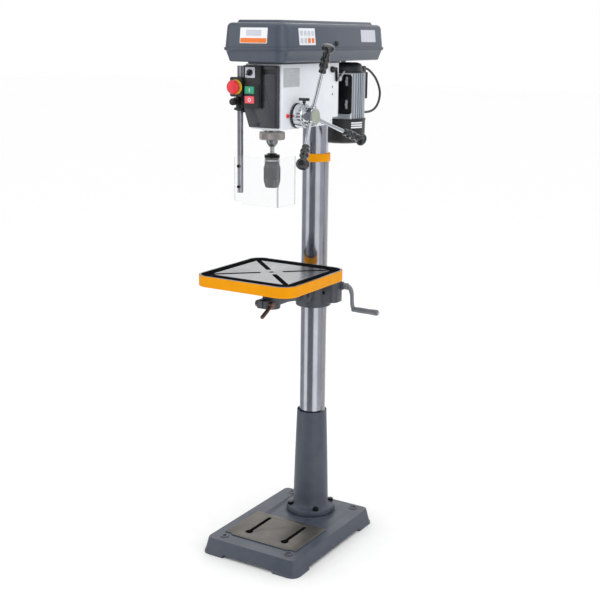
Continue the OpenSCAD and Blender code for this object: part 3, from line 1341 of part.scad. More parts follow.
module motor_rotor() {
    z0 = motor_z - 42;
    color("silver") translate([0, motor_y, 0]) {
        translate([0, 0, z0]) cylinder(r = motor_shaft_r, h = pulley_z + steps * step_h - 2 - z0, $fn = fine);
        translate([0, 0, motor_z + 10]) cylinder(r = motor_r - 36, h = motor_len - 24, $fn = fine);
        translate([0, 0, z0 + 2]) cylinder(r = 16, h = 14, $fn = fine);
        for (a = [0:60:300]) rotate(a) box(10, motor_r - 15, -1.2, 1.2, z0 + 3, z0 + 15);
    }
}

module motor_pulley() { pulley(motor_y, motor_shaft_r, false, 0); }

module terminal_box() {
    z0 = motor_z + 58;
    z1 = motor_z + motor_len;
    color([0.12, 0.12, 0.13]) {
        slab(-40, 36, box_front_y, box_back_y, 4, z0, z1);
        box(lead_x - 12, lead_x + 12, box_front_y + 3, lead_route[0][0] - 14, z1 - 1, gland_z + 10);
        bar_y_dir(lead_x, lead_route[0][0] - 15, gland_z, 8.5, 7);
        bar_y_dir(lead_x, lead_route[0][0] - 9, gland_z, 6.5, 9);
    }
}

// Sweeps a tube of n sides along the lead's route, which lies in a plane of constant x
module motor_lead() {
    n = 10;
    pts = lead_route;
    last = len(pts) - 1;
    rings = [for (i = [0:last])
        let (a = pts[max(i - 1, 0)], b = pts[min(i + 1, last)], t = (b - a) / norm(b - a), side = [-t[1], t[0]])
        for (j = [0:n - 1])
            let (c = lead_d / 2 * cos(360 * j / n), s = lead_d / 2 * sin(360 * j / n))
            [lead_x + s, pts[i][0] + side[0] * c, pts[i][1] + side[1] * c]];
    sides = [for (i = [0:last - 1], j = [0:n - 1])
        [i * n + j, i * n + (j + 1) % n, (i + 1) * n + (j + 1) % n, (i + 1) * n + j]];
    color([0.2, 0.2, 0.2]) polyhedron(rings,
        concat([[for (j = [n - 1:-1:0]) j]], sides, [[for (j = [0:n - 1]) last * n + j]]), convexity = 4);
}

module tension_lever() {
    x0 = head_half_w + gap;
    color([0.1, 0.1, 0.12]) {
        bar_x_dir(26, tension_y, tension_z, 6, x0 - 26 + 2);
        bar_x_dir(x0, tension_y, tension_z, 9, 7);
        hull() for (y = [0, 22]) bar_x_dir(x0 + 1, tension_y + y, tension_z + y / 11, 4, 5);
        hull() for (z = [0, -34]) bar_x_dir(x0 + 1, tension_y + 22 - z / 11, tension_z + 2 + z, 4, 5);
    }
}

module bar_lock() {
    x0 = head_half_w + gap;
    color("silver") {
        bar_x_dir(bar_x + bar_r + 0.1, bar_lock_y, bar_z, 4, x0 - bar_x - bar_r + 3);
        bar_x_dir(x0, bar_lock_y, bar_z, 7, 9);
        translate([x0 + 5, bar_lock_y, bar_z]) rotate([-52, 0, 0]) cylinder(r = 3.2, h = 34, $fn = soft);
    }
}

base_plate();
column_foot();
foot_bolts();
column();
rack_ring();
lift_rack();
table_bracket();
column_lock();
lift_gear();
crank();
crank_grip();
table_arm();
table_lock();
work_table();
head_casting();
front_cover();
head_fittings();
control_box();
plates();
selector_knob();
start_button();
stop_button();
guard_bracket();
estop_button();
guard_swivel();
guard_knob();
guard_rod();
chuck_guard();
depth_pointer();
quill();
quill_cap();
spindle();
chuck_body();
chuck_sleeve();
jaw_1();
jaw_2();
jaw_3();
feed_pinion();
feed_hub();
feed_grips();
depth_ring();
depth_lock();
return_spring();
spindle_pulley();
idler_pulley();
idler_arm();
v_belts();
belt_tray();
belt_lid();
lid_knob();
slide_bars();
motor_plate();
motor_body();
motor_ends();
motor_rotor();
motor_pulley();
terminal_box();
motor_lead();
tension_lever();
bar_lock();
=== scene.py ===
"""Pillar drill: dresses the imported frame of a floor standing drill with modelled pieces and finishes."""

import logging
import math
from dataclasses import dataclass
from enum import Enum
from typing import Callable, Optional, Sequence

import bpy
from mathutils import Matrix, Vector


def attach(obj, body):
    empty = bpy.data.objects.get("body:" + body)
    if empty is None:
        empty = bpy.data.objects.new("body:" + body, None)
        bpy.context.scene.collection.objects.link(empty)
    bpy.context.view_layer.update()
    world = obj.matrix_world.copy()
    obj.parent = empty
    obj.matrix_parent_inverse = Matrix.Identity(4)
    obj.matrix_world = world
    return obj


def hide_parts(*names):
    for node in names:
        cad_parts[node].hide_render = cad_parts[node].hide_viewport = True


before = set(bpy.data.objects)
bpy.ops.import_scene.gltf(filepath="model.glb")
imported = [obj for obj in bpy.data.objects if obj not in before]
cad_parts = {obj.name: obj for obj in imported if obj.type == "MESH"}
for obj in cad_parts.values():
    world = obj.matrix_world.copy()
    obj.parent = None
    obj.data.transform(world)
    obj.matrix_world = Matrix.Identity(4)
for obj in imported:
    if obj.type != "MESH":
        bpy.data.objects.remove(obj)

LOG = logging.getLogger("pillar_drill")
MM = 0.001
Point = Sequence[float]
Pair = tuple[float, float]
Span = tuple[float, float, float, float]
Piece = bpy.types.Object

# Places that several pieces share, in millimetres
SPINDLE_Y = -244.0
SPINDLE = (0, SPINDLE_Y, 0)
HUB_Z = 1355.5
FEED_Y = -214.0
HUB = (0, FEED_Y, HUB_Z)
MOTOR_Y = 165.0
ROD = (-80.0, -290.0)
BAR_X = 38
BAR_Z = 1453
BAR_LOCK = (0, 26, BAR_Z)
TENSION_LEVER = (0, -15, 1481)


class Axis(Enum):
    """The directions that a turned or extruded piece can take, each with the two across it."""

    X = ((1, 0, 0), (0, 1, 0), (0, 0, 1))
    Y = ((0, 1, 0), (1, 0, 0), (0, 0, 1))
    Z = ((0, 0, 1), (1, 0, 0), (0, 1, 0))

    @property
    def along(self) -> Vector:
        """The axis itself."""
        return Vector(self.value[0])

    def point(self, first: float, second: float, height: float) -> Vector:
        """Gives the point at two distances across the axis and one along it, in metres."""
        a, b, c = (Vector(v) for v in self.value)
        return (b * first + c * second + a * height) * MM


class Pick(Enum):
    """What is selected in edit mode."""

    POINTS = "VERT"
    EDGES = "EDGE"
    FACES = "FACE"


class Join(Enum):
    """What one solid does to another."""

    CUT = "DIFFERENCE"
    ADD = "UNION"


def linear(code: str) -> tuple[float, float, float, float]:
    """Turns an sRGB hex colour into the linear colour that a shader reads.

    Args:
        code: The colour as six hex digits after a hash.

    Returns:
        Red, green, blue and an alpha of one, linear.
    """
    parts = [int(code[i:i + 2], 16) / 255 for i in (1, 3, 5)]
    made = [c / 12.92 if c <= 0.04045 else ((c + 0.055) / 1.055) ** 2.4 for c in parts]
    return (made[0], made[1], made[2], 1.0)


def per_mm(size: float) -> float:
    """Gives a texture's scale, on Object coordinates in metres, for a feature of a size in millimetres."""
    return 1.0 / (size * MM)


def node(tree: bpy.types.NodeTree, kind: str, inputs: Optional[dict] = None,
         **settings: object) -> bpy.types.Node:
    """Adds a shader node with its settings and links.

    Args:
        tree: The material's node tree.
        kind: The node's type.
        inputs: Input names or numbers, each with a value or the socket that feeds it.
        **settings: The node's own properties.

    Returns:
        The new node.
    """
    made = tree.nodes.new(kind)
    for key, value in settings.items():
        setattr(made, key, value)
    for key, value in (inputs or {}).items():
        if isinstance(value, bpy.types.NodeSocket):
            tree.links.new(value, made.inputs[key])
        else:
            made.inputs[key].default_value = value
    return made


@dataclass(frozen=True)
class Finish:
    """What every finish has: a name, a material slot that is not used, two shades, a gloss, and the size of
    its grain.
    """

    name: str
    slot: str
    shade: str
    second: str
    rough: float = 0.4
    rough_spread: float = 0.06
    patch_mm: float = 40.0
    grain_mm: float = 2.0
    bump: float = 0.1
    metallic: float = 0.0
    stretch: Point = (1.0, 1.0, 1.0)
    coat: float = 0.0
    anisotropic: float = 0.0
    ior: float = 1.5
    alpha: float = 1.0

    def build(self) -> bpy.types.Material:
        """Makes the material, or gives the one that was made before.

        Returns:
            The material with its patches, grain and gloss.
        """
        known = bpy.data.materials.get(self.name)
        if known:
            return known
        made = bpy.data.materials.new(self.name)
        made.use_nodes = True
        tree = made.node_tree
        tree.nodes.clear()
        place = node(tree, "ShaderNodeTexCoord").outputs["Object"]
        drawn = node(tree, "ShaderNodeMapping", {"Vector": place, "Scale": self.stretch}).outputs["Vector"]
        patches = node(tree, "ShaderNodeTexNoise", {"Vector": place, "Scale": per_mm(self.patch_mm),
                                                    "Detail": 4.0})
        grain = node(tree, "ShaderNodeTexNoise", {"Vector": drawn, "Scale": per_mm(self.grain_mm),
                                                  "Detail": 3.0})
        blend = node(tree, "ShaderNodeMapRange", {"Value": patches.outputs["Fac"], "From Min": 0.35,
                                                  "From Max": 0.65})
        colour = node(tree, "ShaderNodeMix", {"Factor": blend.outputs["Result"], 6: linear(self.shade),
                                              7: linear(self.second)}, data_type="RGBA")
        gloss = node(tree, "ShaderNodeMapRange",
                     {"Value": grain.outputs["Fac"] if self.metallic else patches.outputs["Fac"],
                      "From Min": 0.3, "From Max": 0.7, "To Min": self.rough - self.rough_spread,
                      "To Max": self.rough + self.rough_spread})
        relief = node(tree, "ShaderNodeBump", {"Height": grain.outputs["Fac"], "Strength": self.bump,
                                               "Distance": self.grain_mm * MM * 0.2})
        shader = node(tree, "ShaderNodeBsdfPrincipled", {"Base Color": colour.outputs[2],
                                                         "Roughness": gloss.outputs["Result"],
                                                         "Normal": relief.outputs["Normal"],
                                                         "Metallic": self.metallic, "Coat Weight": self.coat,
                                                         "Coat Roughness": 0.12, "IOR": self.ior,
                                                         "Anisotropic": self.anisotropic,
                                                         "Alpha": self.alpha})
        node(tree, "ShaderNodeOutputMaterial", {"Surface": shader.outputs["BSDF"]})
        return made


class Finishes(Enum):
    """Every finish on the drill."""

    # Grey-blue powder coat on pressed sheet, baked: satin, with a faint orange peel 2 mm across
    GREY_COAT = Finish("grey_powder_coat", "cover_paint", "#454d5a", "#4a5260", 0.4, bump=0.12, coat=0.15)
    # The same coat over sand-cast iron shows the sand's 3 mm pits
    CAST_COAT = Finish("grey_coat_on_casting", "base_paint", "#3e4552", "#464d59", 0.48, bump=0.3,
                       grain_mm=3.0, coat=0.1)
    DARK_COAT = Finish("dark_grey_coat_on_casting", "bracket_paint", "#40444b", "#4a4e56", 0.42, bump=0.3,
                       grain_mm=3.0, coat=0.15)
    # Near-black coat: the table's real black paint, and also painted shade on the walls of the keyhole slots
    # in the base and the pad
    BLACK_COAT = Finish("black_coat_and_slot_shade", "orange_paint", "#18191b", "#202124", 0.85, bump=0.25,
                        grain_mm=3.0, ior=1.25)
    WHITE_COAT = Finish("white_powder_coat", "white_paint", "#e9edf2", "#e3e8ee", 0.4, bump=0.12,
                        grain_mm=2.4, coat=0.2)
    ORANGE_COAT = Finish("orange_powder_coat", "orange_paint", "#ea9a00", "#e49400", 0.4, bump=0.1, ior=1.2)
    # Centreless-ground tube: rings too fine to see, so they are drawn 0.8 mm apart, long around the tube
    COLUMN_STEEL = Finish("ground_steel_tube", "ground_steel", "#c4c6cd", "#b6b8c0", 0.18, 0.03, 60.0, 0.8,
                          0.01, 1.0, (0.05, 0.05, 1.0), anisotropic=0.4)
    TURNED_STEEL = Finish("turned_steel", "machined_steel", "#a9abad", "#96989b", 0.3, 0.06, 30.0, 0.8, 0.08,
                          1.0, (0.1, 0.1, 1.0), anisotropic=0.4)
    # Surface-ground iron: the wheel's scratches run front to back, drawn 1.2 mm apart
    PLATE_STEEL = Finish("surface_ground_plate", "machined_steel", "#76787c", "#66686c", 0.3, 0.1, 90.0, 1.2,
                         0.06, 0.75, (1.0, 0.03, 1.0), anisotropic=0.3)
    PAD_STEEL = Finish("surface_ground_pad", "machined_steel", "#6d6963", "#625e59", 0.46, 0.08, 60.0, 1.2,
                       0.08, 0.7, (0.03, 1.0, 1.0))
    # Hot-oxidised steel: near black with a dull oily sheen
    BLACK_OXIDE = Finish("black_oxide_steel", "dark_steel", "#1d1e20", "#28292c", 0.36, 0.06, 20.0, 1.0, 0.08,
                         0.8)
    GEAR_STEEL = Finish("machined_steel", "machined_steel", "#8f9193", "#7d7f82", 0.36, 0.06, 20.0, 0.8, 0.1,
                        1.0)
    KNURLED = Finish("knurled_steel", "knurled_steel", "#4e4f52", "#434447", 0.36, 0.06, 20.0, 0.8, 0.12, 0.9)
    # The chuck's sleeve has a brown tone from its oil bath
    BROWNED = Finish("browned_steel", "knurled_steel", "#544b47", "#463e3b", 0.34, 0.06, 20.0, 0.8, 0.12,
                     0.85)
    # Iron bar hardened in its own scale, worn to a red-brown
    COPPERED = Finish("brown_scaled_steel", "dark_steel", "#84665b", "#765a50", 0.42, 0.06, 20.0, 0.8, 0.12,
                      0.7)
    CHROME = Finish("chrome_plate", "chrome", "#dcdfe2", "#d2d6da", 0.09, 0.02, 30.0, 4.0, 0.02, 1.0)
    CAST_ALLOY = Finish("cast_aluminium", "cast_aluminium", "#a3a9b0", "#979da4", 0.42, 0.06, 30.0, 1.6, 0.2,
                        0.7)
    CAST_CRANK = Finish("cast_iron_grey_coat", "bracket_paint", "#7b7f86", "#6e7279", 0.34, bump=0.2,
                        coat=0.3, metallic=0.3)
    ROD_ALLOY = Finish("extruded_aluminium", "rod_aluminium", "#a8acb1", "#9a9ea4", 0.3, 0.05, 30.0, 0.8,
                       0.05, 0.9, (1.0, 1.0, 0.02))
    # Injection-moulded ABS with a spark-eroded texture, drawn 0.6 mm apart to show at all; the same black is
    # also painted shade in the front cover's hand recess
    BLACK_ABS = Finish("black_abs_and_recess_shade", "black_plastic", "#1a1b1d", "#212224", 0.42, bump=0.2, grain_mm=0.6,
                       ior=1.53)
    COVER_ABS = Finish("charcoal_abs", "cover_plastic", "#33363d", "#2d3037", 0.3, bump=0.15, grain_mm=0.8,
                       ior=1.53, coat=0.15)
    GREEN_ABS = Finish("green_button_plastic", "green_plastic", "#2fa87f", "#2b9f78", 0.3, bump=0.04,
                       ior=1.53)
    RED_ABS = Finish("red_button_plastic", "red_plastic", "#e3323e", "#db2b38", 0.3, bump=0.04, ior=1.53)
    PINK_ABS = Finish("light_red_button_plastic", "red_plastic", "#ee5f6b", "#e85661", 0.3, bump=0.04,
                      ior=1.53)
    YELLOW_ABS = Finish("yellow_plastic", "black_plastic", "#ecc42c", "#e4bc26", 0.35, bump=0.04, ior=1.53)
    WHITE_INK = Finish("white_ink", "plate_metal", "#eef0f2", "#e6e8ea", 0.4, bump=0.02)
    # Compression-moulded phenolic: glossy, with slow waves
    BAKELITE = Finish("black_phenolic", "black_plastic", "#131416", "#1a1b1d", 0.24, bump=0.03, grain_mm=3.0,
                      coat=0.4, ior=1.6)
    RUBBER = Finish("black_rubber", "belt_rubber", "#161616", "#1e1e1e", 0.62, bump=0.2, grain_mm=1.0,
                    ior=1.52)
    LEAD_RUBBER = Finish("rubber_lead_jacket", "lead_rubber", "#2b2c2e", "#343537", 0.5, bump=0.1, ior=1.52)
    # Polycarbonate sheet, 3 mm: clear, a little grey where it is seen through its thickness
    CLEAR = Finish("clear_polycarbonate", "clear_plastic", "#e4e9ee", "#dfe5ea", 0.06, 0.01, bump=0.01,
                   ior=1.5, alpha=0.07)
    # Grey of the sheet's cut edges, seen through their thickness; also painted shade on the bend's faces,
    # where the bend refracts the light
    CLEAR_EDGE = Finish("polycarbonate_edge_and_bend_shade", "clear_plastic", "#868d94", "#7d848b", 0.2, bump=0.01,
                        ior=1.58, alpha=0.55)
    LABEL = Finish("blank_label_film", "plate_metal", "#c9ccd6", "#c2c6d0", 0.35, bump=0.03)
    WHITE_LABEL = Finish("white_label_film", "plate_metal", "#eceef2", "#e6e9ee", 0.35, bump=0.03)
    ORANGE_LABEL = Finish("orange_label_film", "orange_paint", "#ee7a2a", "#e87425", 0.35, bump=0.03)
    STEEL_PLATE = Finish("etched_aluminium_plate", "plate_metal", "#c6c9ca", "#bcbfc1", 0.4, bump=0.05,
                         metallic=0.4)
    CAP_FILM = Finish("olive_grey_hub_cap", "plate_metal", "#a9aea0", "#a1a698", 0.35, bump=0.04,
                      metallic=0.2)

    @property
    def material(self) -> bpy.types.Material:
        """The finish's material."""
        return self.value.build()


def idle() -> None:
    """Leaves edit mode and deselects every object."""
    if bpy.context.mode != "OBJECT":
        bpy.ops.object.mode_set(mode="OBJECT")
    bpy.ops.object.select_all(action="DESELECT")


def take(piece: Piece) -> Piece:
    """Makes one object the only selected and the active one, and returns it."""
    idle()
    piece.select_set(True)
    bpy.context.view_layer.objects.active = piece
    return piece


def settle() -> Piece:
    """Puts the active object's place into its mesh and returns the object."""
    bpy.ops.object.transform_apply(location=True, rotation=True, scale=True)
    return bpy.context.object


def edit(kind: Pick = Pick.FACES) -> None:
    """Enters edit mode with everything selected."""
    bpy.ops.object.mode_set(mode="EDIT")
    bpy.ops.mesh.select_mode(type=kind.value)
    bpy.ops.mesh.select_all(action="SELECT")


def outward() -> None:
    """Merges the doubles, turns the normals outwards and leaves edit mode."""
    bpy.ops.mesh.select_mode(type="VERT")
    bpy.ops.mesh.select_all(action="SELECT")
    bpy.ops.mesh.remove_doubles(threshold=0.002 * MM)
    bpy.ops.mesh.normals_make_consistent(inside=False)
    bpy.ops.object.mode_set(mode="OBJECT")


def pick(piece: Piece, kind: Pick, test: Callable[[Vector, Vector], bool]) -> None:
    """Selects, in edit mode, what passes a test.

    Args:
        piece: The object to select on.
        kind: What is selected.
        test: Takes a place in millimetres and a normal, or an edge's direction.
    """
    take(piece)
    edit(kind)
    bpy.ops.mesh.select_all(action="DESELECT")
    bpy.ops.object.mode_set(mode="OBJECT")
    mesh = piece.data
    if kind is Pick.FACES:
        for face in mesh.polygons:
            face.select = test(face.center / MM, face.normal)
    elif kind is Pick.POINTS:
        for point in mesh.vertices:
            point.select = test(point.co / MM, point.normal)
    else:
        for line in mesh.edges:
            a, b = (mesh.vertices[i].co for i in line.vertices)
            line.select = test((a + b) / 2 / MM, (b - a).normalized())
    bpy.ops.object.mode_set(mode="EDIT")


def extrude(move: Vector) -> None:
    """Extrudes the selection by a move in metres."""
    bpy.ops.mesh.extrude_region_move(TRANSFORM_OT_translate={"value": tuple(move)})


def slab(span: Span, corner: float, z: float, steps: Sequence[Pair], rounds: int = 8,
         down: bool = False) -> Piece:
    """Raises a block with round corners, step by step.

    Args:
        span: The lowest and highest x, then the lowest and highest y.
        corner: The radius of the corners.
        z: The height of the first face.
        steps: Rises, each with how far the outline draws in; a negative one spreads out.
        rounds: The number of segments in a corner.
        down: True if the steps go down.

    Returns:
        The closed block.
    """
    idle()
    x0, x1, y0, y1 = span
    bpy.ops.mesh.primitive_plane_add(size=MM, location=((x0 + x1) / 2 * MM, (y0 + y1) / 2 * MM, z * MM))
    piece = bpy.context.object
    piece.scale = (x1 - x0, y1 - y0, 1.0)
    settle()
    edit(Pick.POINTS)
    if down:
        bpy.ops.mesh.flip_normals()
    if corner > 0:
        bpy.ops.mesh.bevel(affect="VERTICES", offset=corner * MM, segments=rounds)
    bpy.ops.mesh.select_mode(type="FACE")
    bpy.ops.mesh.select_all(action="SELECT")
    wide, deep, sign = x1 - x0, y1 - y0, -1 if down else 1
    centre = Vector(((x0 + x1) / 2, (y0 + y1) / 2, z)) * MM
    for turn, (rise, inset) in enumerate(steps):
        if inset > 0 and turn > 0:
            bpy.ops.mesh.inset(thickness=inset * MM, depth=rise * MM, use_even_offset=True)
        else:
            extrude(Vector((0, 0, sign * rise * MM)))
            if inset:
                bpy.ops.transform.resize(value=((wide - 2 * inset) / wide, (deep - 2 * inset) / deep, 1.0),
                                         center_override=centre)
        wide, deep = wide - 2 * inset, deep - 2 * inset
    outward()
    return piece


def shell(piece: Piece, open_z: float, wall: float) -> Piece:
    """Opens a closed block at one height and gives its skin a wall, inwards.

    Args:
        piece: The block.
        open_z: The height of the flat face that is taken away.
        wall: The thickness of the wall.

    Returns:
        The hollow piece.
    """
    pick(piece, Pick.FACES, lambda c, n: abs(c.z - open_z) < 0.01 and abs(n.z) > 0.9)
    bpy.ops.mesh.delete(type="FACE")
    idle()
    return shape(piece, "SOLIDIFY", thickness=wall * MM, offset=-1.0, use_even_offset=True)


def shape(piece: Piece, kind: str, **settings: object) -> Piece:
    """Adds a modifier, applies it and returns the piece."""
    take(piece)
    added = piece.modifiers.new(kind.lower(), kind)
    for key, value in settings.items():
        setattr(added, key, value)
    bpy.ops.object.modifier_apply(modifier=added.name)
    return piece


def soften(piece: Piece, width: float, segments: int = 2, angle: float = 30.0) -> Piece:
    """Rounds the edges that are sharper than an angle in degrees, by a width in millimetres."""
    return shape(piece, "BEVEL", width=width * MM, segments=segments, limit_method="ANGLE",
                 angle_limit=math.radians(angle), use_clamp_overlap=True)


def outline(points: Sequence[Vector]) -> Piece:
    """Draws a line through points, in metres, by extruding one point; edit mode stays on, all selected."""
    idle()
    bpy.ops.mesh.primitive_plane_add(size=MM, location=points[0])
    piece = settle()
    edit(Pick.POINTS)
    bpy.ops.mesh.merge(type="CENTER")
    for a, b in zip(points, points[1:]):
        extrude(b - a)
    bpy.ops.mesh.select_all(action="SELECT")
    return piece


def lathe(profile: Sequence[Pair], axis: Axis = Axis.Z, centre: Point = (0, 0, 0), steps: int = 64) -> Piece:
    """Spins a profile round an axis.

    Args:
        profile: Radii, each with its place along the axis. It ends on the axis, or closes on itself.
        axis: The direction of the axis.
        centre: A point on the axis.
        steps: The number of steps round.

    Returns:
        The turned piece.
    """
    at = Vector(centre) * MM
    piece = outline([at + axis.point(r, 0, h) for r, h in profile])
    bpy.ops.mesh.spin(steps=steps, angle=math.tau, center=at, axis=axis.along)
    outward()
    return piece


def prism(points: Sequence[Pair], axis: Axis, start: float, end: float) -> Piece:
    """Closes an outline to a face and extrudes it along an axis.

    Args:
        points: The outline, in the two directions across the axis.
        axis: The direction of the extrusion.
        start: Where it starts, along the axis.
        end: Where it ends.

    Returns:
        The closed prism.
    """
    piece = outline([axis.point(a, b, start) for a, b in points])
    bpy.ops.mesh.edge_face_add()
    extrude(axis.along * (end - start) * MM)
    outward()
    return piece


def block(low: Point, high: Point, bevel: float = 0.0, segments: int = 2) -> Piece:
    """Makes a block between two corners, its edges rounded."""
    idle()
    bpy.ops.mesh.primitive_cube_add(size=MM, location=(Vector(low) + Vector(high)) / 2 * MM)
    bpy.context.object.scale = Vector(high) - Vector(low)
    piece = settle()
    return soften(piece, bevel, segments) if bevel else piece


def pin(axis: Axis, centre: Point, radius: float, start: float, end: float, bevel: float = 0.0,
        steps: int = 48) -> Piece:
    """Turns a round pin whose ends have a chamfer.

    Args:
        axis: The pin's direction.
        centre: A point on its axis; start and end count from it.
        radius: Its radius.
        start: Where it starts.
        end: Where it ends.
        bevel: The chamfer's width.
        steps: The number of steps round.

    Returns:
        The pin.
    """
    if not bevel:
        return lathe([(0, start), (radius, start), (radius, end), (0, end)], axis, centre, steps)
    return lathe([(0, start), (radius - bevel, start), (radius, start + bevel), (radius, end - bevel),
                  (radius - bevel, end), (0, end)], axis, centre, steps)


def combine(piece: Piece, tools: Sequence[Piece], how: Join = Join.CUT) -> Piece:
    """Cuts tools from a piece, or adds them, and clears the tools away.

    Args:
        piece: The piece that stays.
        tools: The solids that act on it.
        how: What they do.

    Returns:
        The piece.
    """
    for tool in tools:
        shape(piece, "BOOLEAN", operation=how.value, object=tool, solver="EXACT")
        bpy.data.objects.remove(tool)
    return piece


def gather(pieces: Sequence[Piece]) -> Piece:
    """Puts several shells into one object and returns it."""
    take(pieces[0])
    for piece in pieces[1:]:
        piece.select_set(True)
    bpy.ops.object.join()
    return bpy.context.object


def place(piece: Piece, at: Point, turn: Matrix = Matrix()) -> Piece:
    """Turns a piece about the origin, then moves it by millimetres, and puts that in its mesh."""
    take(piece)
    piece.matrix_world = Matrix.Translation(Vector(at) * MM) @ turn
    return settle()


def twin(piece: Piece) -> Piece:
    """Copies a piece with a mesh of its own."""
    take(piece)
    bpy.ops.object.duplicate()
    return bpy.context.object


def turned(axis: str, degrees: float) -> Matrix:
    """Gives a turn about one axis in degrees."""
    return Matrix.Rotation(math.radians(degrees), 4, axis)


def round_corners(x0: float, x1: float, y0: float, y1: float, r: float, n: int = 6,
                  low_r: Optional[float] = None) -> list[Pair]:
    """Gives the outline of a rectangle with round corners in n steps each; low_r is the radius at y0."""
    low = r if low_r is None else low_r
    made = []
    for cx, cy, radius, start in ((x1 - r, y1 - r, r, 0), (x0 + r, y1 - r, r, 90),
                                  (x0 + low, y0 + low, low, 180), (x1 - low, y0 + low, low, 270)):
        for i in range(n + 1):
            a = math.radians(start + 90 * i / n)
            made.append((cx + radius * math.cos(a), cy + radius * math.sin(a)))
    return made


def around(count: int, radius: float, centre: Pair = (0, 0), first: float = 0) -> list[Pair]:
    """Gives places evenly round a circle, the first one at an angle in degrees."""
    turns = [math.radians(first + 360 * i / count) for i in range(count)]
    return [(centre[0] + radius * math.cos(a), centre[1] + radius * math.sin(a)) for a in turns]


def stadium(p: Pair, q: Pair, rp: float, rq: float, n: int = 12) -> list[Pair]:
    """Gives the outline round two circles, with n steps for each end."""
    d = math.hypot(q[0] - p[0], q[1] - p[1])
    lean = math.atan2(q[1] - p[1], q[0] - p[0])
    a = math.acos((rp - rq) / d)
    made = []
    for centre, radius, start, end in ((q, rq, -a, a), (p, rp, a, math.tau - a)):
        for i in range(n + 1):
            t = lean + start + (end - start) * i / n
            made.append((centre[0] + radius * math.cos(t), centre[1] + radius * math.sin(t)))
    return made


def coat(piece: Piece, finish: Finishes) -> None:
    """Gives a piece a further finish, in a slot of its own."""
    piece.data.materials.append(finish.material)


def paint(piece: Piece, finish: Finishes, test: Callable[[Vector, Vector], bool]) -> None:
    """Gives the faces that pass a test another finish."""
    take(piece)
    coat(piece, finish)
    pick(piece, Pick.FACES, test)
    piece.active_material_index = len(piece.data.materials) - 1
    bpy.ops.object.material_slot_assign()
    idle()


def done(piece: Piece, name: str, finish: Finishes, body: str, *nodes: str, smooth: float = 35.0) -> Piece:
    """Finishes a piece: its shading, name, material, body and the CAD nodes that it stands for.

    Args:
        piece: The piece.
        name: Its name.
        finish: Its main finish.
        body: The CAD body that it rides on.
        *nodes: The CAD nodes that it stands for.
        smooth: The angle in degrees up to which two faces shade as one.

    Returns:
        The piece.
    """
    take(piece)
    bpy.ops.object.shade_smooth_by_angle(angle=math.radians(smooth))
    piece.name = name
    piece.data.name = name
    if not piece.data.materials:
        coat(piece, finish)
    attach(piece, body)
    if nodes:
        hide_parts(*nodes)
    LOG.info("%s: %d faces, on %s", name, len(piece.data.polygons), body)
    return piece


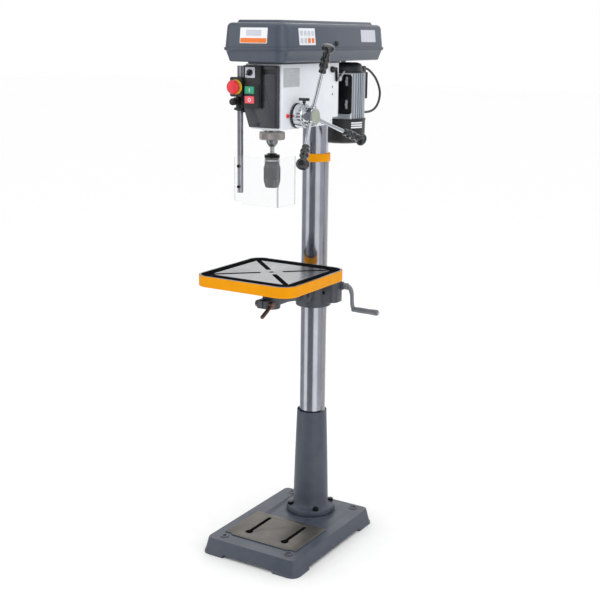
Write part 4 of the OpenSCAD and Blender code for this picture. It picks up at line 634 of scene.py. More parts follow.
@dataclass
class Stage:
    """The pale floor, the soft light and the camera."""

    position: Point = (1.75339, -2.94496, 1.58383)
    azimuth: float = math.radians(31.475)
    pitch: float = math.radians(13.503)
    roll: float = math.radians(0.611)
    lens: float = 66.53

    def build(self) -> None:
        """Makes the camera, the floor, the lights and the world."""
        self.camera()
        self.floor()
        for degrees, width, tone in ((-22.0, 0.9, "#74777f"), (-112.0, 1.1, "#9da0a8"),
                                     (78.0, 1.2, "#bcbfc7")):
            self.card(degrees, width, tone)
        self.light("key", (2.6, -2.0, 3.0), 1.6, 12.0)
        self.light("fill", (-2.6, -2.6, 2.2), 2.2, 5.0)
        self.light("top", (0.2, -0.6, 3.8), 2.4, 8.0)
        self.light("rim", (-1.8, 2.6, 2.4), 1.6, 8.0)
        world = bpy.context.scene.world or bpy.data.worlds.new("studio")
        bpy.context.scene.world = world
        world.use_nodes = True
        shade = world.node_tree.nodes.get("Background") or world.node_tree.nodes.new("ShaderNodeBackground")
        shade.inputs["Color"].default_value = (1.0, 1.0, 1.0, 1.0)
        shade.inputs["Strength"].default_value = 1.0
        bpy.context.scene.view_settings.view_transform = "Standard"

    def floor(self) -> None:
        """Makes the floor, a wide pale sheet just under the feet."""
        idle()
        bpy.ops.mesh.primitive_plane_add(size=60.0, location=(0.0, 0.0, -0.0004))
        sheet = settle()
        sheet.name = "studio_floor"
        finish = Finish("studio_floor_paint", "", "#ffffff", "#fdfdfd", 0.8, bump=0.0)
        sheet.data.materials.append(finish.build())

    def card(self, degrees: float, width: float, tone: str) -> None:
        """Stands a tall card beside the machine, seen in its bright metal only.

        Args:
            degrees: How far it stands round the column from the camera, to the right.
            width: Its width in metres.
            tone: Its colour.
        """
        idle()
        a = self.azimuth - math.pi / 2 + math.radians(degrees)
        bpy.ops.mesh.primitive_plane_add(size=1.0, location=(0.9 * math.cos(a), 0.9 * math.sin(a), 1.2),
                                         rotation=(math.pi / 2, 0.0, a + math.pi / 2))
        sheet = bpy.context.object
        sheet.scale = (width, 3.4, 1.0)
        sheet = settle()
        sheet.name = f"studio_card_{abs(round(degrees))}"
        sheet.data.materials.append(Finish(f"studio_card_{tone[1:]}", "", tone, tone, 0.9, bump=0.0).build())
        sheet.visible_camera = sheet.visible_shadow = sheet.visible_diffuse = False

    def light(self, name: str, at: Point, size: float, power: float) -> None:
        """Adds one soft square light that faces the machine.

        Args:
            name: The light's name.
            at: Where it stands, in metres.
            size: The side of its panel, in metres.
            power: Its power in watts.
        """
        lamp = bpy.data.lights.new(name, "AREA")
        lamp.size = size
        lamp.energy = power
        held = bpy.data.objects.new(name, lamp)
        bpy.context.scene.collection.objects.link(held)
        held.location = at
        held.rotation_euler = (Vector((0.0, -0.1, 0.9)) - Vector(at)).to_track_quat("-Z", "Y").to_euler()

    def camera(self) -> None:
        """Puts the camera where the picture was taken from."""
        a, p = self.azimuth, self.pitch
        ahead = Vector((-math.sin(a) * math.cos(p), math.cos(a) * math.cos(p), -math.sin(p)))
        right = Vector((math.cos(a), math.sin(a), 0.0))
        up = right.cross(ahead)
        across = right * math.cos(self.roll) + up * math.sin(self.roll)
        above = up * math.cos(self.roll) - right * math.sin(self.roll)
        lens = bpy.data.cameras.new("camera")
        lens.lens = self.lens
        lens.sensor_width = 36.0
        held = bpy.data.objects.new("camera", lens)
        bpy.context.scene.collection.objects.link(held)
        held.matrix_world = Matrix.Translation(self.position) @ Matrix((across, above,
                                                                        -ahead)).transposed().to_4x4()
        bpy.context.scene.camera = held


@dataclass
class Base:
    """The cast base, its ground pad, the column's foot and its bolts."""

    half: float = 174.6
    front: float = -376.0
    back: float = 119.0
    top: float = 50.0
    pad_top: float = 53.0
    pad_half: float = 130.0
    pad_front: float = -310.0
    pad_back: float = -119.0
    hole_x: float = 118.0
    holes_y: Pair = (-326.0, 78.0)
    slot_x: float = 66.0
    bolt_r: float = 68.0
    foot_z: float = 52.0
    sleeve_top: float = 399.0

    def build(self) -> None:
        """Builds the four pieces."""
        self.casting()
        self.pad()
        self.foot()
        self.bolts()

    def floor_holes(self, radius: float, low: float, high: float) -> list[Piece]:
        """Gives round tools at the floor holes."""
        return [pin(Axis.Z, (x, y, 0), radius, low, high) for x in (-self.hole_x, self.hole_x)
                for y in self.holes_y]

    def casting(self) -> None:
        """Builds the hollow casting with its draft, its notched edge, bosses, holes and keyhole slots."""
        body = slab((-self.half, self.half, self.front, self.back), 30, 0,
                    [(7, 1), (1.6, 1.6), (1.4, 1.0), (36.5, 9.6), (2.3, 0.9), (1.2, 0.9)])
        body = combine(body, [pin(Axis.Z, (0, 0, 0), 86, self.top - 2, self.top + 2, 1.2, 96)], Join.ADD)
        body = combine(body, self.floor_holes(13.2, self.top - 2, self.top + 2), Join.ADD)
        hollow = []
        for x0, x1 in ((6, 148.6), (-148.6, -6)):
            for y0, y1 in ((-350, -132), (-120, 93)):
                hollow.append(slab((x0, x1, y0, y1), 14, -1, [(40, 0)], 4))
        hollow.append(block((-92, self.front - 1, -1), (92, self.front + 27, 9)))
        hollow.append(block((-92, self.back - 27, -1), (92, self.back + 1, 9)))
        hollow.append(block((self.half - 27, -295, -1), (self.half + 1, 25, 9)))
        hollow.append(block((-self.half - 1, -295, -1), (-self.half + 27, 25, 9)))
        body = combine(body, hollow + self.keyholes(12, 55) + self.floor_holes(6, -1, 55))
        bolts = [pin(Axis.Z, (*at, 0), 5.05, -1, 60) for at in around(4, self.bolt_r, first=45)]
        body = soften(combine(body, bolts), 0.8)
        coat(body, Finishes.CAST_COAT)
        # The keyhole slots' walls are painted black: painted shade for the dark inside of the slots
        paint(body, Finishes.BLACK_COAT, lambda c, n: abs(abs(c.x) - self.slot_x) < 12.6 and -278 < c.y < -140
              and abs(n.z) < 0.3 and c.z > 10)
        done(body, "base_casting", Finishes.CAST_COAT, "stand", "base_plate")

    def keyholes(self, low: float, high: float) -> list[Piece]:
        """Gives the tools of the two keyhole slots."""
        made = []
        for x in (-self.slot_x, self.slot_x):
            made.append(block((x - 6, -265, low), (x + 6, -147, high)))
            made.append(pin(Axis.Z, (x, -265, 0), 12, low, high))
            made.append(pin(Axis.Z, (x, -147, 0), 6, low, high))
        return made

    def pad(self) -> None:
        """Builds the ground pad, cut away round the front bolt holes, on a painted ledge."""
        pad = slab((-self.pad_half, self.pad_half, self.pad_front, self.pad_back), 3, self.top - 2,
                   [(self.pad_top - self.top + 2, 0)])
        tools = [pin(Axis.Z, (x, self.holes_y[0], 0), 24, 40, 60) for x in (-self.hole_x, self.hole_x)]
        pad = soften(combine(pad, tools + self.keyholes(40, 60)), 0.7)
        coat(pad, Finishes.PAD_STEEL)
        paint(pad, Finishes.CAST_COAT, lambda c, n: n.z < 0.5)
        # The keyhole slots' walls are painted black here too, as painted shade
        paint(pad, Finishes.BLACK_COAT, lambda c, n: n.z < 0.5 and abs(abs(c.x) - self.slot_x) < 12.9 and
              -278.5 < c.y < -140)
        done(pad, "base_pad", Finishes.PAD_STEEL, "stand", "base_plate")

    def foot(self) -> None:
        """Builds the flange and the tapered sleeve, with seats for the bolts."""
        z0, z1, top = self.foot_z, self.foot_z + 20, self.sleeve_top
        flare = [(57 - 9 * (0.72 * u + 0.28 * u * u), z1 + 12 + (top - z1 - 18) * u) for u in
                 (i / 12 for i in range(13))]
        profile = [(40.05, z0), (77, z0), (79.2, z0 + 1), (80, z0 + 3), (79, z0 + 14), (77.6, z0 + 17.6),
                   (74, z0 + 19.6), (68, z0 + 20.6), (62.5, z0 + 22.5), (59, z0 + 26)] + flare + [
                   (48, top - 2), (47, top), (46.8, top), (46.6, top - 9), (40.05, top - 9), (40.05, z0)]
        foot = lathe(profile, steps=96)
        seats = []
        for x, y in around(4, self.bolt_r, first=45):
            seats += [pin(Axis.Z, (x, y, 0), 10.5, z1 + 0.2, z1 + 40),
                      pin(Axis.Z, (x, y, 0), 5.05, z0 - 1, z1 + 2)]
        done(soften(combine(foot, seats), 0.6, angle=40), "column_foot_casting", Finishes.CAST_COAT, "stand",
             "column_foot")

    def bolts(self) -> None:
        """Builds the four hexagon bolts with their washers and nuts."""
        z1 = self.foot_z + 20
        head = lathe([(0, z1 + 2), (8.3, z1 + 2), (9.2, z1 + 2.6), (9.2, z1 + 7.6), (8.2, z1 + 8.5),
                      (0, z1 + 8.5)], steps=6)
        nut = lathe([(0, 31), (8.4, 31), (9.2, 31.8), (9.2, 38.2), (8.4, 39), (0, 39)], steps=6)
        one = gather([head, pin(Axis.Z, (0, 0, 0), 10, z1 + 0.2, z1 + 2, 0.3), nut,
                      pin(Axis.Z, (0, 0, 0), 5, 27, z1 + 2, 0.5, 24)])
        made = [place(twin(one), (*at, 0), turned("Z", 17 * i))
                for i, at in enumerate(around(4, self.bolt_r, first=45))]
        bpy.data.objects.remove(one)
        done(gather(made), "foot_bolt_set", Finishes.BLACK_OXIDE, "stand", "foot_bolts")


@dataclass
class Column:
    """The ground steel tube and the orange ring that holds the rack."""

    low: float = 52.3
    top: float = 1440.0
    ring_z: float = 1204.0
    ring_h: float = 24.6
    ring_r: float = 47.0

    def build(self) -> None:
        """Builds the tube and the ring."""
        tube = lathe([(36, self.low), (39.4, self.low), (40, self.low + 0.6), (40, self.top - 1.5),
                      (38.5, self.top), (36, self.top), (36, self.low)], steps=128)
        done(tube, "column_tube", Finishes.COLUMN_STEEL, "stand", "column")
        z0, z1, r = self.ring_z, self.ring_z + self.ring_h, self.ring_r
        ring = lathe([(46.65, z0), (r - 0.1, z0), (r, z0 + 0.6), (r, z1 - 2.4), (r - 0.8, z1 - 0.7),
                      (r - 2.4, z1), (40.4, z1), (40.05, z1 - 0.4), (40.05, z0 + 9.5), (46.6, z0 + 9.5),
                      (46.65, z0)], steps=96)
        ring = combine(ring, [pin(Axis.Y, (0, 0, (z0 + z1) / 2), 3, -48, -38)])
        coat(ring, Finishes.ORANGE_COAT)
        screw = lathe([(0, -40.4), (2.9, -40.4), (2.9, -45.6), (2.4, -46), (1.5, -46), (1.5, -43.5),
                       (0, -43.5)], Axis.Y, (0, 0, (z0 + z1) / 2), 24)
        coat(screw, Finishes.BLACK_OXIDE)
        done(gather([ring, screw]), "rack_stop_ring", Finishes.ORANGE_COAT, "stand", "rack_ring")


def rounded(steps: Sequence[Pair], start: Pair, reach: Pair, turns: int) -> list[Pair]:
    """Adds a quarter round to the steps of a block.

    Args:
        steps: The rises so far, each with its inset.
        start: The height and the inset where the round starts.
        reach: How much further it rises and draws in.
        turns: The number of its own steps.

    Returns:
        All the steps.
    """
    angles = [math.pi / 2 * i / turns for i in range(turns + 1)]
    bend = [(start[0] + reach[0] * math.sin(a), start[1] + reach[1] * (1 - math.cos(a))) for a in angles]
    return [*steps, *((b[0] - a[0], b[1] - a[1]) for a, b in zip(bend, bend[1:]))]


@dataclass
class BeltCover:
    """The hinged lid and the tray round the belt drive, with their labels, hinges and knob."""

    half: float = 108.0
    front: float = -355.0
    back: float = 256.0
    corner: float = 38.0
    seam: float = 1541.0
    shoulder: float = 1613.0
    tray_z: float = 1506.0
    wall: float = 2.0
    hinge_x: float = -113.0
    hinges: Pair = (-260.0, 161.0)

    def build(self) -> None:
        """Builds the lid, the tray, the labels and the knob."""
        self.lid()
        self.tray()
        self.labels()
        self.knob()

    def span(self, inset: float) -> Span:
        """Gives the outline drawn in by an inset."""
        return (-self.half + inset, self.half - inset, self.front + inset, self.back - inset)

    def lid(self) -> None:
        """Builds the pressed lid: rolled lip, leaning sides, round shoulder, raised panel and straps."""
        steps = [(3.2, 0.0), (0.9, 0.5), (0.4, 1.4), (0.1, 1.0), (0.8, 1.1), (52.0, 5.5)]
        rise, inset = self.seam + sum(s[0] for s in steps), sum(s[1] for s in steps)
        steps = rounded(steps, (rise, inset), (self.shoulder - rise, 14.5), 7)
        dome = slab(self.span(0), self.corner, self.seam, steps, 10)
        panel = slab(self.span(35.6), 10, self.shoulder - 1, [(2.2, 0.0), (5.3, 3.8), (0.7, 0.8), (0.3, 1.6)],
                     6)
        dome = shell(combine(dome, [panel], Join.ADD), self.seam, self.wall)
        straps = []
        for y in self.hinges:
            straps.append(pin(Axis.Y, (self.hinge_x, y, self.seam), 4.2, -8.7, 8.7, 0.4, 32))
            straps.append(block((self.hinge_x, y - 8.7, self.seam + 1.2),
                                (-self.half + 3, y + 8.7, self.seam + 4.2), 0.4))
        dome = combine(dome, [pin(Axis.X, (0, -62, self.seam + 16), 3.05, 80, 110)])
        done(gather([dome] + straps), "belt_cover_lid", Finishes.GREY_COAT, "lid", "belt_lid")

    def tray(self) -> None:
        """Builds the pressed tray: turned lip, flared sides, round lower edge, openings and hinge straps."""
        steps = [(3.4, 0.0), (0.5, 1.2), (0.3, 2.2), (1.0, 1.2), (22.0, 8.2)]
        depth, inset = sum(s[0] for s in steps), 1 + sum(s[1] for s in steps)
        low = self.seam - 0.3 - self.tray_z
        steps = rounded(steps, (depth, inset), (low - depth, 21 - inset), 5)
        tray = slab(self.span(1), self.corner - 1, self.seam - 0.3, steps, 10, down=True)
        tray = shell(tray, self.seam - 0.3, self.wall)
        openings = [pin(Axis.Z, SPINDLE, 27.5, 1490, 1520), pin(Axis.Z, (0, -10, 0), 7.2, 1490, 1520, 0, 24),
                    prism(stadium((0, 155), (0, 165), 16, 15.99), Axis.Z, 1490, 1515)]
        tray = combine(tray, openings)
        seat = prism(round_corners(-58, 58, -286, 46, 5, 4), Axis.Z, 1500.1, 1506.4)
        seat = combine(seat, [block((-48, -185, 1490), (48, -58, 1510)),
                              pin(Axis.Z, SPINDLE, 27.5, 1490, 1510),
                              pin(Axis.Z, (0, -10, 0), 7.2, 1490, 1510, 0, 24)])
        parts = [tray, seat]
        for y in self.hinges:
            for y0, y1 in ((y - 21, y - 9), (y + 9, y + 21)):
                parts.append(pin(Axis.Y, (self.hinge_x, 0, self.seam), 4.2, y0, y1, 0.4, 32))
                parts.append(block((self.hinge_x, y0, self.seam - 4.2), (-self.half + 3, y1, self.seam - 1.2),
                                   0.4))
        done(gather(parts), "belt_cover_tray", Finishes.GREY_COAT, "stand", "belt_tray")

    def lean(self, z: float) -> float:
        """Gives how far the lid's side stands in from the outline at a height."""
        return 4.0 + 5.5 * (z - self.seam - 5.4) / 52.0

    def label(self, across: Pair, z: Pair, side: int, finish: Finishes, name: str, lift: float = 0.0) -> None:
        """Lays one blank film on the leaning front or right side of the lid.

        Args:
            across: Where it starts and ends, across the face.
            z: Its lower and upper edge.
            side: 0 for the front and 1 for the right side.
            finish: Its finish.
            name: Its name.
            lift: How far it stands above another film.
        """
        low, high = (self.lean(h) - 0.05 - lift for h in z)
        ring = ((across[0], low, z[0]), (across[1], low, z[0]), (across[1], high, z[1]),
                (across[0], high, z[1]))
        if side == 0:
            points, out = [(x, self.front + inset, h) for x, inset, h in ring], Vector((0, -0.25, 0))
        else:
            points, out = [(self.half - inset, y, h) for y, inset, h in ring], Vector((0.25, 0, 0))
        film = outline([Vector(p) * MM for p in points])
        bpy.ops.mesh.edge_face_add()
        bpy.ops.mesh.bevel(affect="VERTICES", offset=1.6 * MM, segments=3)
        bpy.ops.mesh.select_all(action="SELECT")
        extrude(out * MM)
        outward()
        done(film, name, finish, "lid")

    def labels(self) -> None:
        """Lays the blank films where the machine has its labels."""
        self.label((-40, 50), (1557, 1599), 0, Finishes.WHITE_LABEL, "front_label_film")
        self.label((-38, 48), (1558.5, 1571), 0, Finishes.ORANGE_LABEL, "front_label_band", 0.3)
        self.label((-20, 30), (1577, 1593), 0, Finishes.LABEL, "front_label_panel", 0.3)
        self.label((-266, -179), (1553, 1599), 1, Finishes.WHITE_LABEL, "side_label_film")
        for i in range(4):
            y = -259 + 20 * i
            self.label((y, y + 14), (1579, 1592), 1, Finishes.LABEL, f"side_label_field_{i + 1}", 0.3)
            tone = Finishes.LABEL if i < 2 else Finishes.ORANGE_LABEL
            self.label((y, y + 14), (1559, 1572), 1, tone, f"side_label_field_{i + 5}", 0.3)
        self.label((92, 184), (1561, 1597), 1, Finishes.LABEL, "rear_label_film")

    def knob(self) -> None:
        """Builds the lid's turning knob with its latch blade."""
        at = (92, -62, self.seam + 16)
        head = lathe([(0, 0), (3, 0), (3, 11.6), (7, 11.6), (7.5, 12.2), (7.4, 13.5), (6.2, 17), (5.4, 17.6),
                      (0, 17.6)], Axis.X, at, 40)
        blade = block((at[0], at[1] - 4, at[2] - 10), (at[0] + 3, at[1] + 4, at[2] + 4), 0.4)
        done(gather([head, blade]), "lid_turn_knob", Finishes.BLACK_ABS, "lid_latch", "lid_knob")


@dataclass
class Head:
    """The white head casting, the dark front cover, the control box and the small plates."""

    half: float = 62.0
    front: float = -290.0
    back: float = 50.0
    low: float = 1318.5
    top: float = 1500.0
    cover_front: float = -302.0
    box_front: float = -312.0
    box_x: Pair = (-53.0, 5.0)
    box_z: Pair = (1377.0, 1496.5)
    button_x: float = -31.0
    start_z: float = 1428.0
    stop_z: float = 1401.0
    selector: Pair = (-30.5, 1476.5)

    def build(self) -> None:
        """Builds the casting, the cover, the box, its plates and its buttons."""
        self.casting()
        self.cover()
        self.control_box()
        self.buttons()
        self.plates()
        self.selector_knob()

    def casting(self) -> None:
        """Builds the casting with its quill boss, bores, cavity and cut lower edges."""
        head = prism(round_corners(-self.half, self.half, self.front, self.back, 30, 8, 4), Axis.Z, self.low,
                     self.top)
        under = prism([(-63, self.low - 1), (-42, self.low - 1), (-63, self.low + 63)], Axis.Y,
                      self.front - 1, -46)
        head = combine(head, [block((-80, -7, self.low - 1), (80, 80, self.low + 21.5)), under])
        head = soften(head, 1.6, 3)
        head = combine(head, [pin(Axis.Z, SPINDLE, 33.5, self.low - 4.5, self.low + 2, 0.8, 96)], Join.ADD)
        bores = [pin(Axis.Z, SPINDLE, 22.55, self.low - 6, 1466), pin(Axis.Z, SPINDLE, 16, 1465, 1473),
                 pin(Axis.Z, SPINDLE, 26.05, 1470, 1510), pin(Axis.X, HUB, 15.25, -8.6, 82),
                 pin(Axis.X, HUB, 8.55, -90, 0), pin(Axis.Z, (0, 0, 0), 40.05, self.low - 1, 1440.3, 0, 128),
                 block((-50, -185, 1345), (50, -58, 1501)), block((-43, self.front - 1, 1385),
                                                                  (35, self.front + 14, 1480.5)),
                 pin(Axis.X, (0, -17, self.low + 11.7), 3, 30, 70, 0, 24),
                 pin(Axis.X, TENSION_LEVER, 6.05, 24, 84), pin(Axis.X, (BAR_X, *BAR_LOCK[1:]), 4.05, 0, 40, 0,
                                                               24),
                 pin(Axis.Z, (0, -10, 0), 7.05, 1476, 1510, 0, 24)]
        bores += [pin(Axis.Y, (x, -62, BAR_Z), 8.05, 0, 120, 0, 32) for x in (-BAR_X, BAR_X)]
        bores += [pin(Axis.X, (0, -8, z), 4.05, 36, 76, 0, 24) for z in (1408, 1430)]
        done(combine(head, bores), "head_shell", Finishes.WHITE_COAT, "stand", "head_casting")

    def cover(self) -> None:
        """Builds the moulded front cover: hollow, with a hand recess painted black as painted shade, and
        holes for the switches.
        """
        x1, z0, z1, back = self.half - 7, self.low + 4.5, self.top - 4, self.front - 0.3
        face = [(-self.half, z0 + 58), (-self.half + 20, z0), (x1, z0), (x1, z1), (-self.half, z1)]
        cover = prism(face, Axis.Y, self.cover_front, back)
        pick(cover, Pick.EDGES, lambda c, d: abs(c.y - self.cover_front) < 0.1 and c.x > x1 - 0.1)
        bpy.ops.mesh.bevel(offset=9.5 * MM, segments=8)
        idle()
        cover = soften(cover, 2.0, 3)
        pick(cover, Pick.FACES, lambda c, n: abs(c.y - back) < 0.05)
        bpy.ops.mesh.inset(thickness=2.5 * MM)
        extrude(Vector((0, -(back - self.cover_front - 2.5) * MM, 0)))
        outward()
        recess = prism(stadium((6, 1478.3), (46, 1480.3), 6.8, 6.4), Axis.Y, self.cover_front - 1,
                       self.cover_front + 2.0)
        openings = [recess, pin(Axis.Y, (-7, 0, 1334), 5.5, self.cover_front - 1, self.cover_front + 7, 0,
                                32)]
        openings += [pin(Axis.Y, (x, 0, z), 6, self.cover_front - 1, self.front, 0, 24) for x, z in
                     (self.selector, (self.button_x, self.start_z), (self.button_x, self.stop_z))]
        cover = soften(combine(cover, openings), 0.5, angle=50)
        coat(cover, Finishes.COVER_ABS)
        # The hand recess is painted black: painted shade for the dark inside of the recess
        paint(cover, Finishes.BLACK_ABS, lambda c, n: self.cover_front + 0.15 < c.y < self.cover_front + 2.1
              and -2 < c.x < 54 and 1470 < c.z < 1488 and (n.y < -0.5 or abs(n.y) < 0.3))
        done(cover, "front_cover_moulding", Finishes.COVER_ABS, "stand", "front_cover")

    def control_box(self) -> None:
        """Builds the box with its raised bezel round the two buttons."""
        x0, x1 = self.box_x
        z0, z1 = self.box_z
        back = self.cover_front - 0.15
        body = soften(prism(round_corners(x0, x1, z0, z1, 5, 5), Axis.Y, self.box_front, back), 0.8, 2)
        bezel = prism(round_corners(x0 + 3, x1 - 3, self.stop_z - 21, self.start_z + 16, 4, 4), Axis.Y,
                      self.box_front - 2, self.box_front + 1)
        body = combine(body, [soften(bezel, 0.6)], Join.ADD)
        tools = []
        for z in (self.start_z, self.stop_z):
            tools.append(block((self.button_x - 15.8, self.box_front - 4, z - 10.3),
                               (self.button_x + 15.8, back - 1.5, z + 10.3)))
            tools.append(pin(Axis.Y, (self.button_x, 0, z), 5.05, self.box_front, back + 4, 0, 24))
        tools.append(pin(Axis.Y, (self.selector[0], 0, self.selector[1]), 5.05, self.box_front - 1, back + 4,
                         0, 24))
        done(combine(body, tools), "control_box_moulding", Finishes.BLACK_ABS, "stand", "control_box")

    def buttons(self) -> None:
        """Builds the two push buttons with their raised marks."""
        y0 = self.box_front
        for z, finish, name, body, cad in ((self.start_z, Finishes.GREEN_ABS, "start_push_button", "start",
                                            "start_button"), (self.stop_z, Finishes.PINK_ABS,
                                                              "stop_push_button", "stop", "stop_button")):
            x = self.button_x
            cap = block((x - 15.5, y0 - 4.5, z - 10), (x + 15.5, y0 + 2.2, z + 10))
            pick(cap, Pick.FACES, lambda c, n: n.y < -0.9)
            bpy.ops.mesh.inset(thickness=1.6 * MM, depth=0.0)
            bpy.ops.mesh.inset(thickness=0.8 * MM, depth=-0.6 * MM)
            outward()
            button = gather([soften(cap, 0.5), pin(Axis.Y, (x, 0, z), 5, y0 + 2, y0 + 10.5, 0.3, 24)])
            coat(button, finish)
            if name.startswith("start"):
                mark = block((x - 1.1, y0 - 4.3, z - 5), (x + 1.1, y0 - 3.5, z + 5), 0.2)
            else:
                mark = lathe([(3.4, y0 - 4.3), (5.2, y0 - 4.3), (5.2, y0 - 3.5), (3.4, y0 - 3.5),
                              (3.4, y0 - 4.3)], Axis.Y, (x, 0, z), 32)
            coat(mark, Finishes.WHITE_INK)
            done(gather([button, mark]), name, finish, body, cad)

    def plates(self) -> None:
        """Builds the selector's plate and the blank name plate with its four pins."""
        x, z = self.selector
        y = self.box_front
        plate = soften(combine(prism(round_corners(x - 16, x + 16, z - 14.5, z + 14.5, 1.5, 3), Axis.Y,
                                     y - 1.2, y - 0.1), [pin(Axis.Y, (x, 0, z), 5.3, y - 3, y + 3, 0, 32)]),
                       0.2)
        coat(plate, Finishes.LABEL)
        marks = [block((x - 14, y - 1.35, z - 13), (x - 9.5, y - 1.0, z - 12)),
                 block((x + 11.5, y - 1.35, z + 6), (x + 12.5, y - 1.0, z + 11.5))]
        for mark in marks:
            coat(mark, Finishes.BLACK_ABS)
        done(gather([plate] + marks), "selector_plate", Finishes.LABEL, "stand", "plates")
        name_plate = slab((0, 85, 0, 52), 2.5, 0.1, [(0.6, 0), (0.2, 0.2)], 4)
        pins = []
        for a, b in ((3.4, 3.4), (81.6, 3.4), (3.4, 48.6), (81.6, 48.6)):
            pins.append(lathe([(0, 0.5), (1.5, 0.5), (1.4, 0.85), (0.8, 0.95), (0, 0.98)], Axis.Z, (a, b, 0),
                              16))
        lines = [block((8, 36, 0.6), (77, 37.2, 0.95)), block((34, 41.5, 0.6), (51, 46, 0.95))]
        lines += [block((8, 8 + 6.5 * i, 0.6), (60 + 17 * (i % 2), 8.9 + 6.5 * i, 0.95)) for i in range(4)]
        for line in lines:
            coat(line, Finishes.LABEL)
        coat(name_plate, Finishes.STEEL_PLATE)
        for one in pins:
            coat(one, Finishes.GEAR_STEEL)
        stand_up = Matrix(((0, 0, 1, 0), (1, 0, 0, 0), (0, 1, 0, 0), (0, 0, 0, 1)))
        plate = place(gather([name_plate] + pins + lines), (self.half, -283, 1437), stand_up)
        done(plate, "blank_name_plate", Finishes.STEEL_PLATE, "stand", "plates")

    def selector_knob(self) -> None:
        """Builds the rotary knob with its finger bar."""
        x, z = self.selector
        y = self.box_front
        disc = lathe([(0, y + 8.5), (5, y + 8.5), (5, y - 1.5), (9, y - 1.5), (9, y - 5.8), (8.3, y - 6.5),
                      (0, y - 6.5)], Axis.Y, (x, 0, z), 48)
        bar = soften(block((-9, y - 12, -2.2), (9, y - 6, 2.2)), 0.7, 3)
        bar = place(bar, (x, 0, z), turned("Y", -45))
        done(gather([disc, bar]), "selector_turn_knob", Finishes.BLACK_ABS, "selector", "selector_knob")


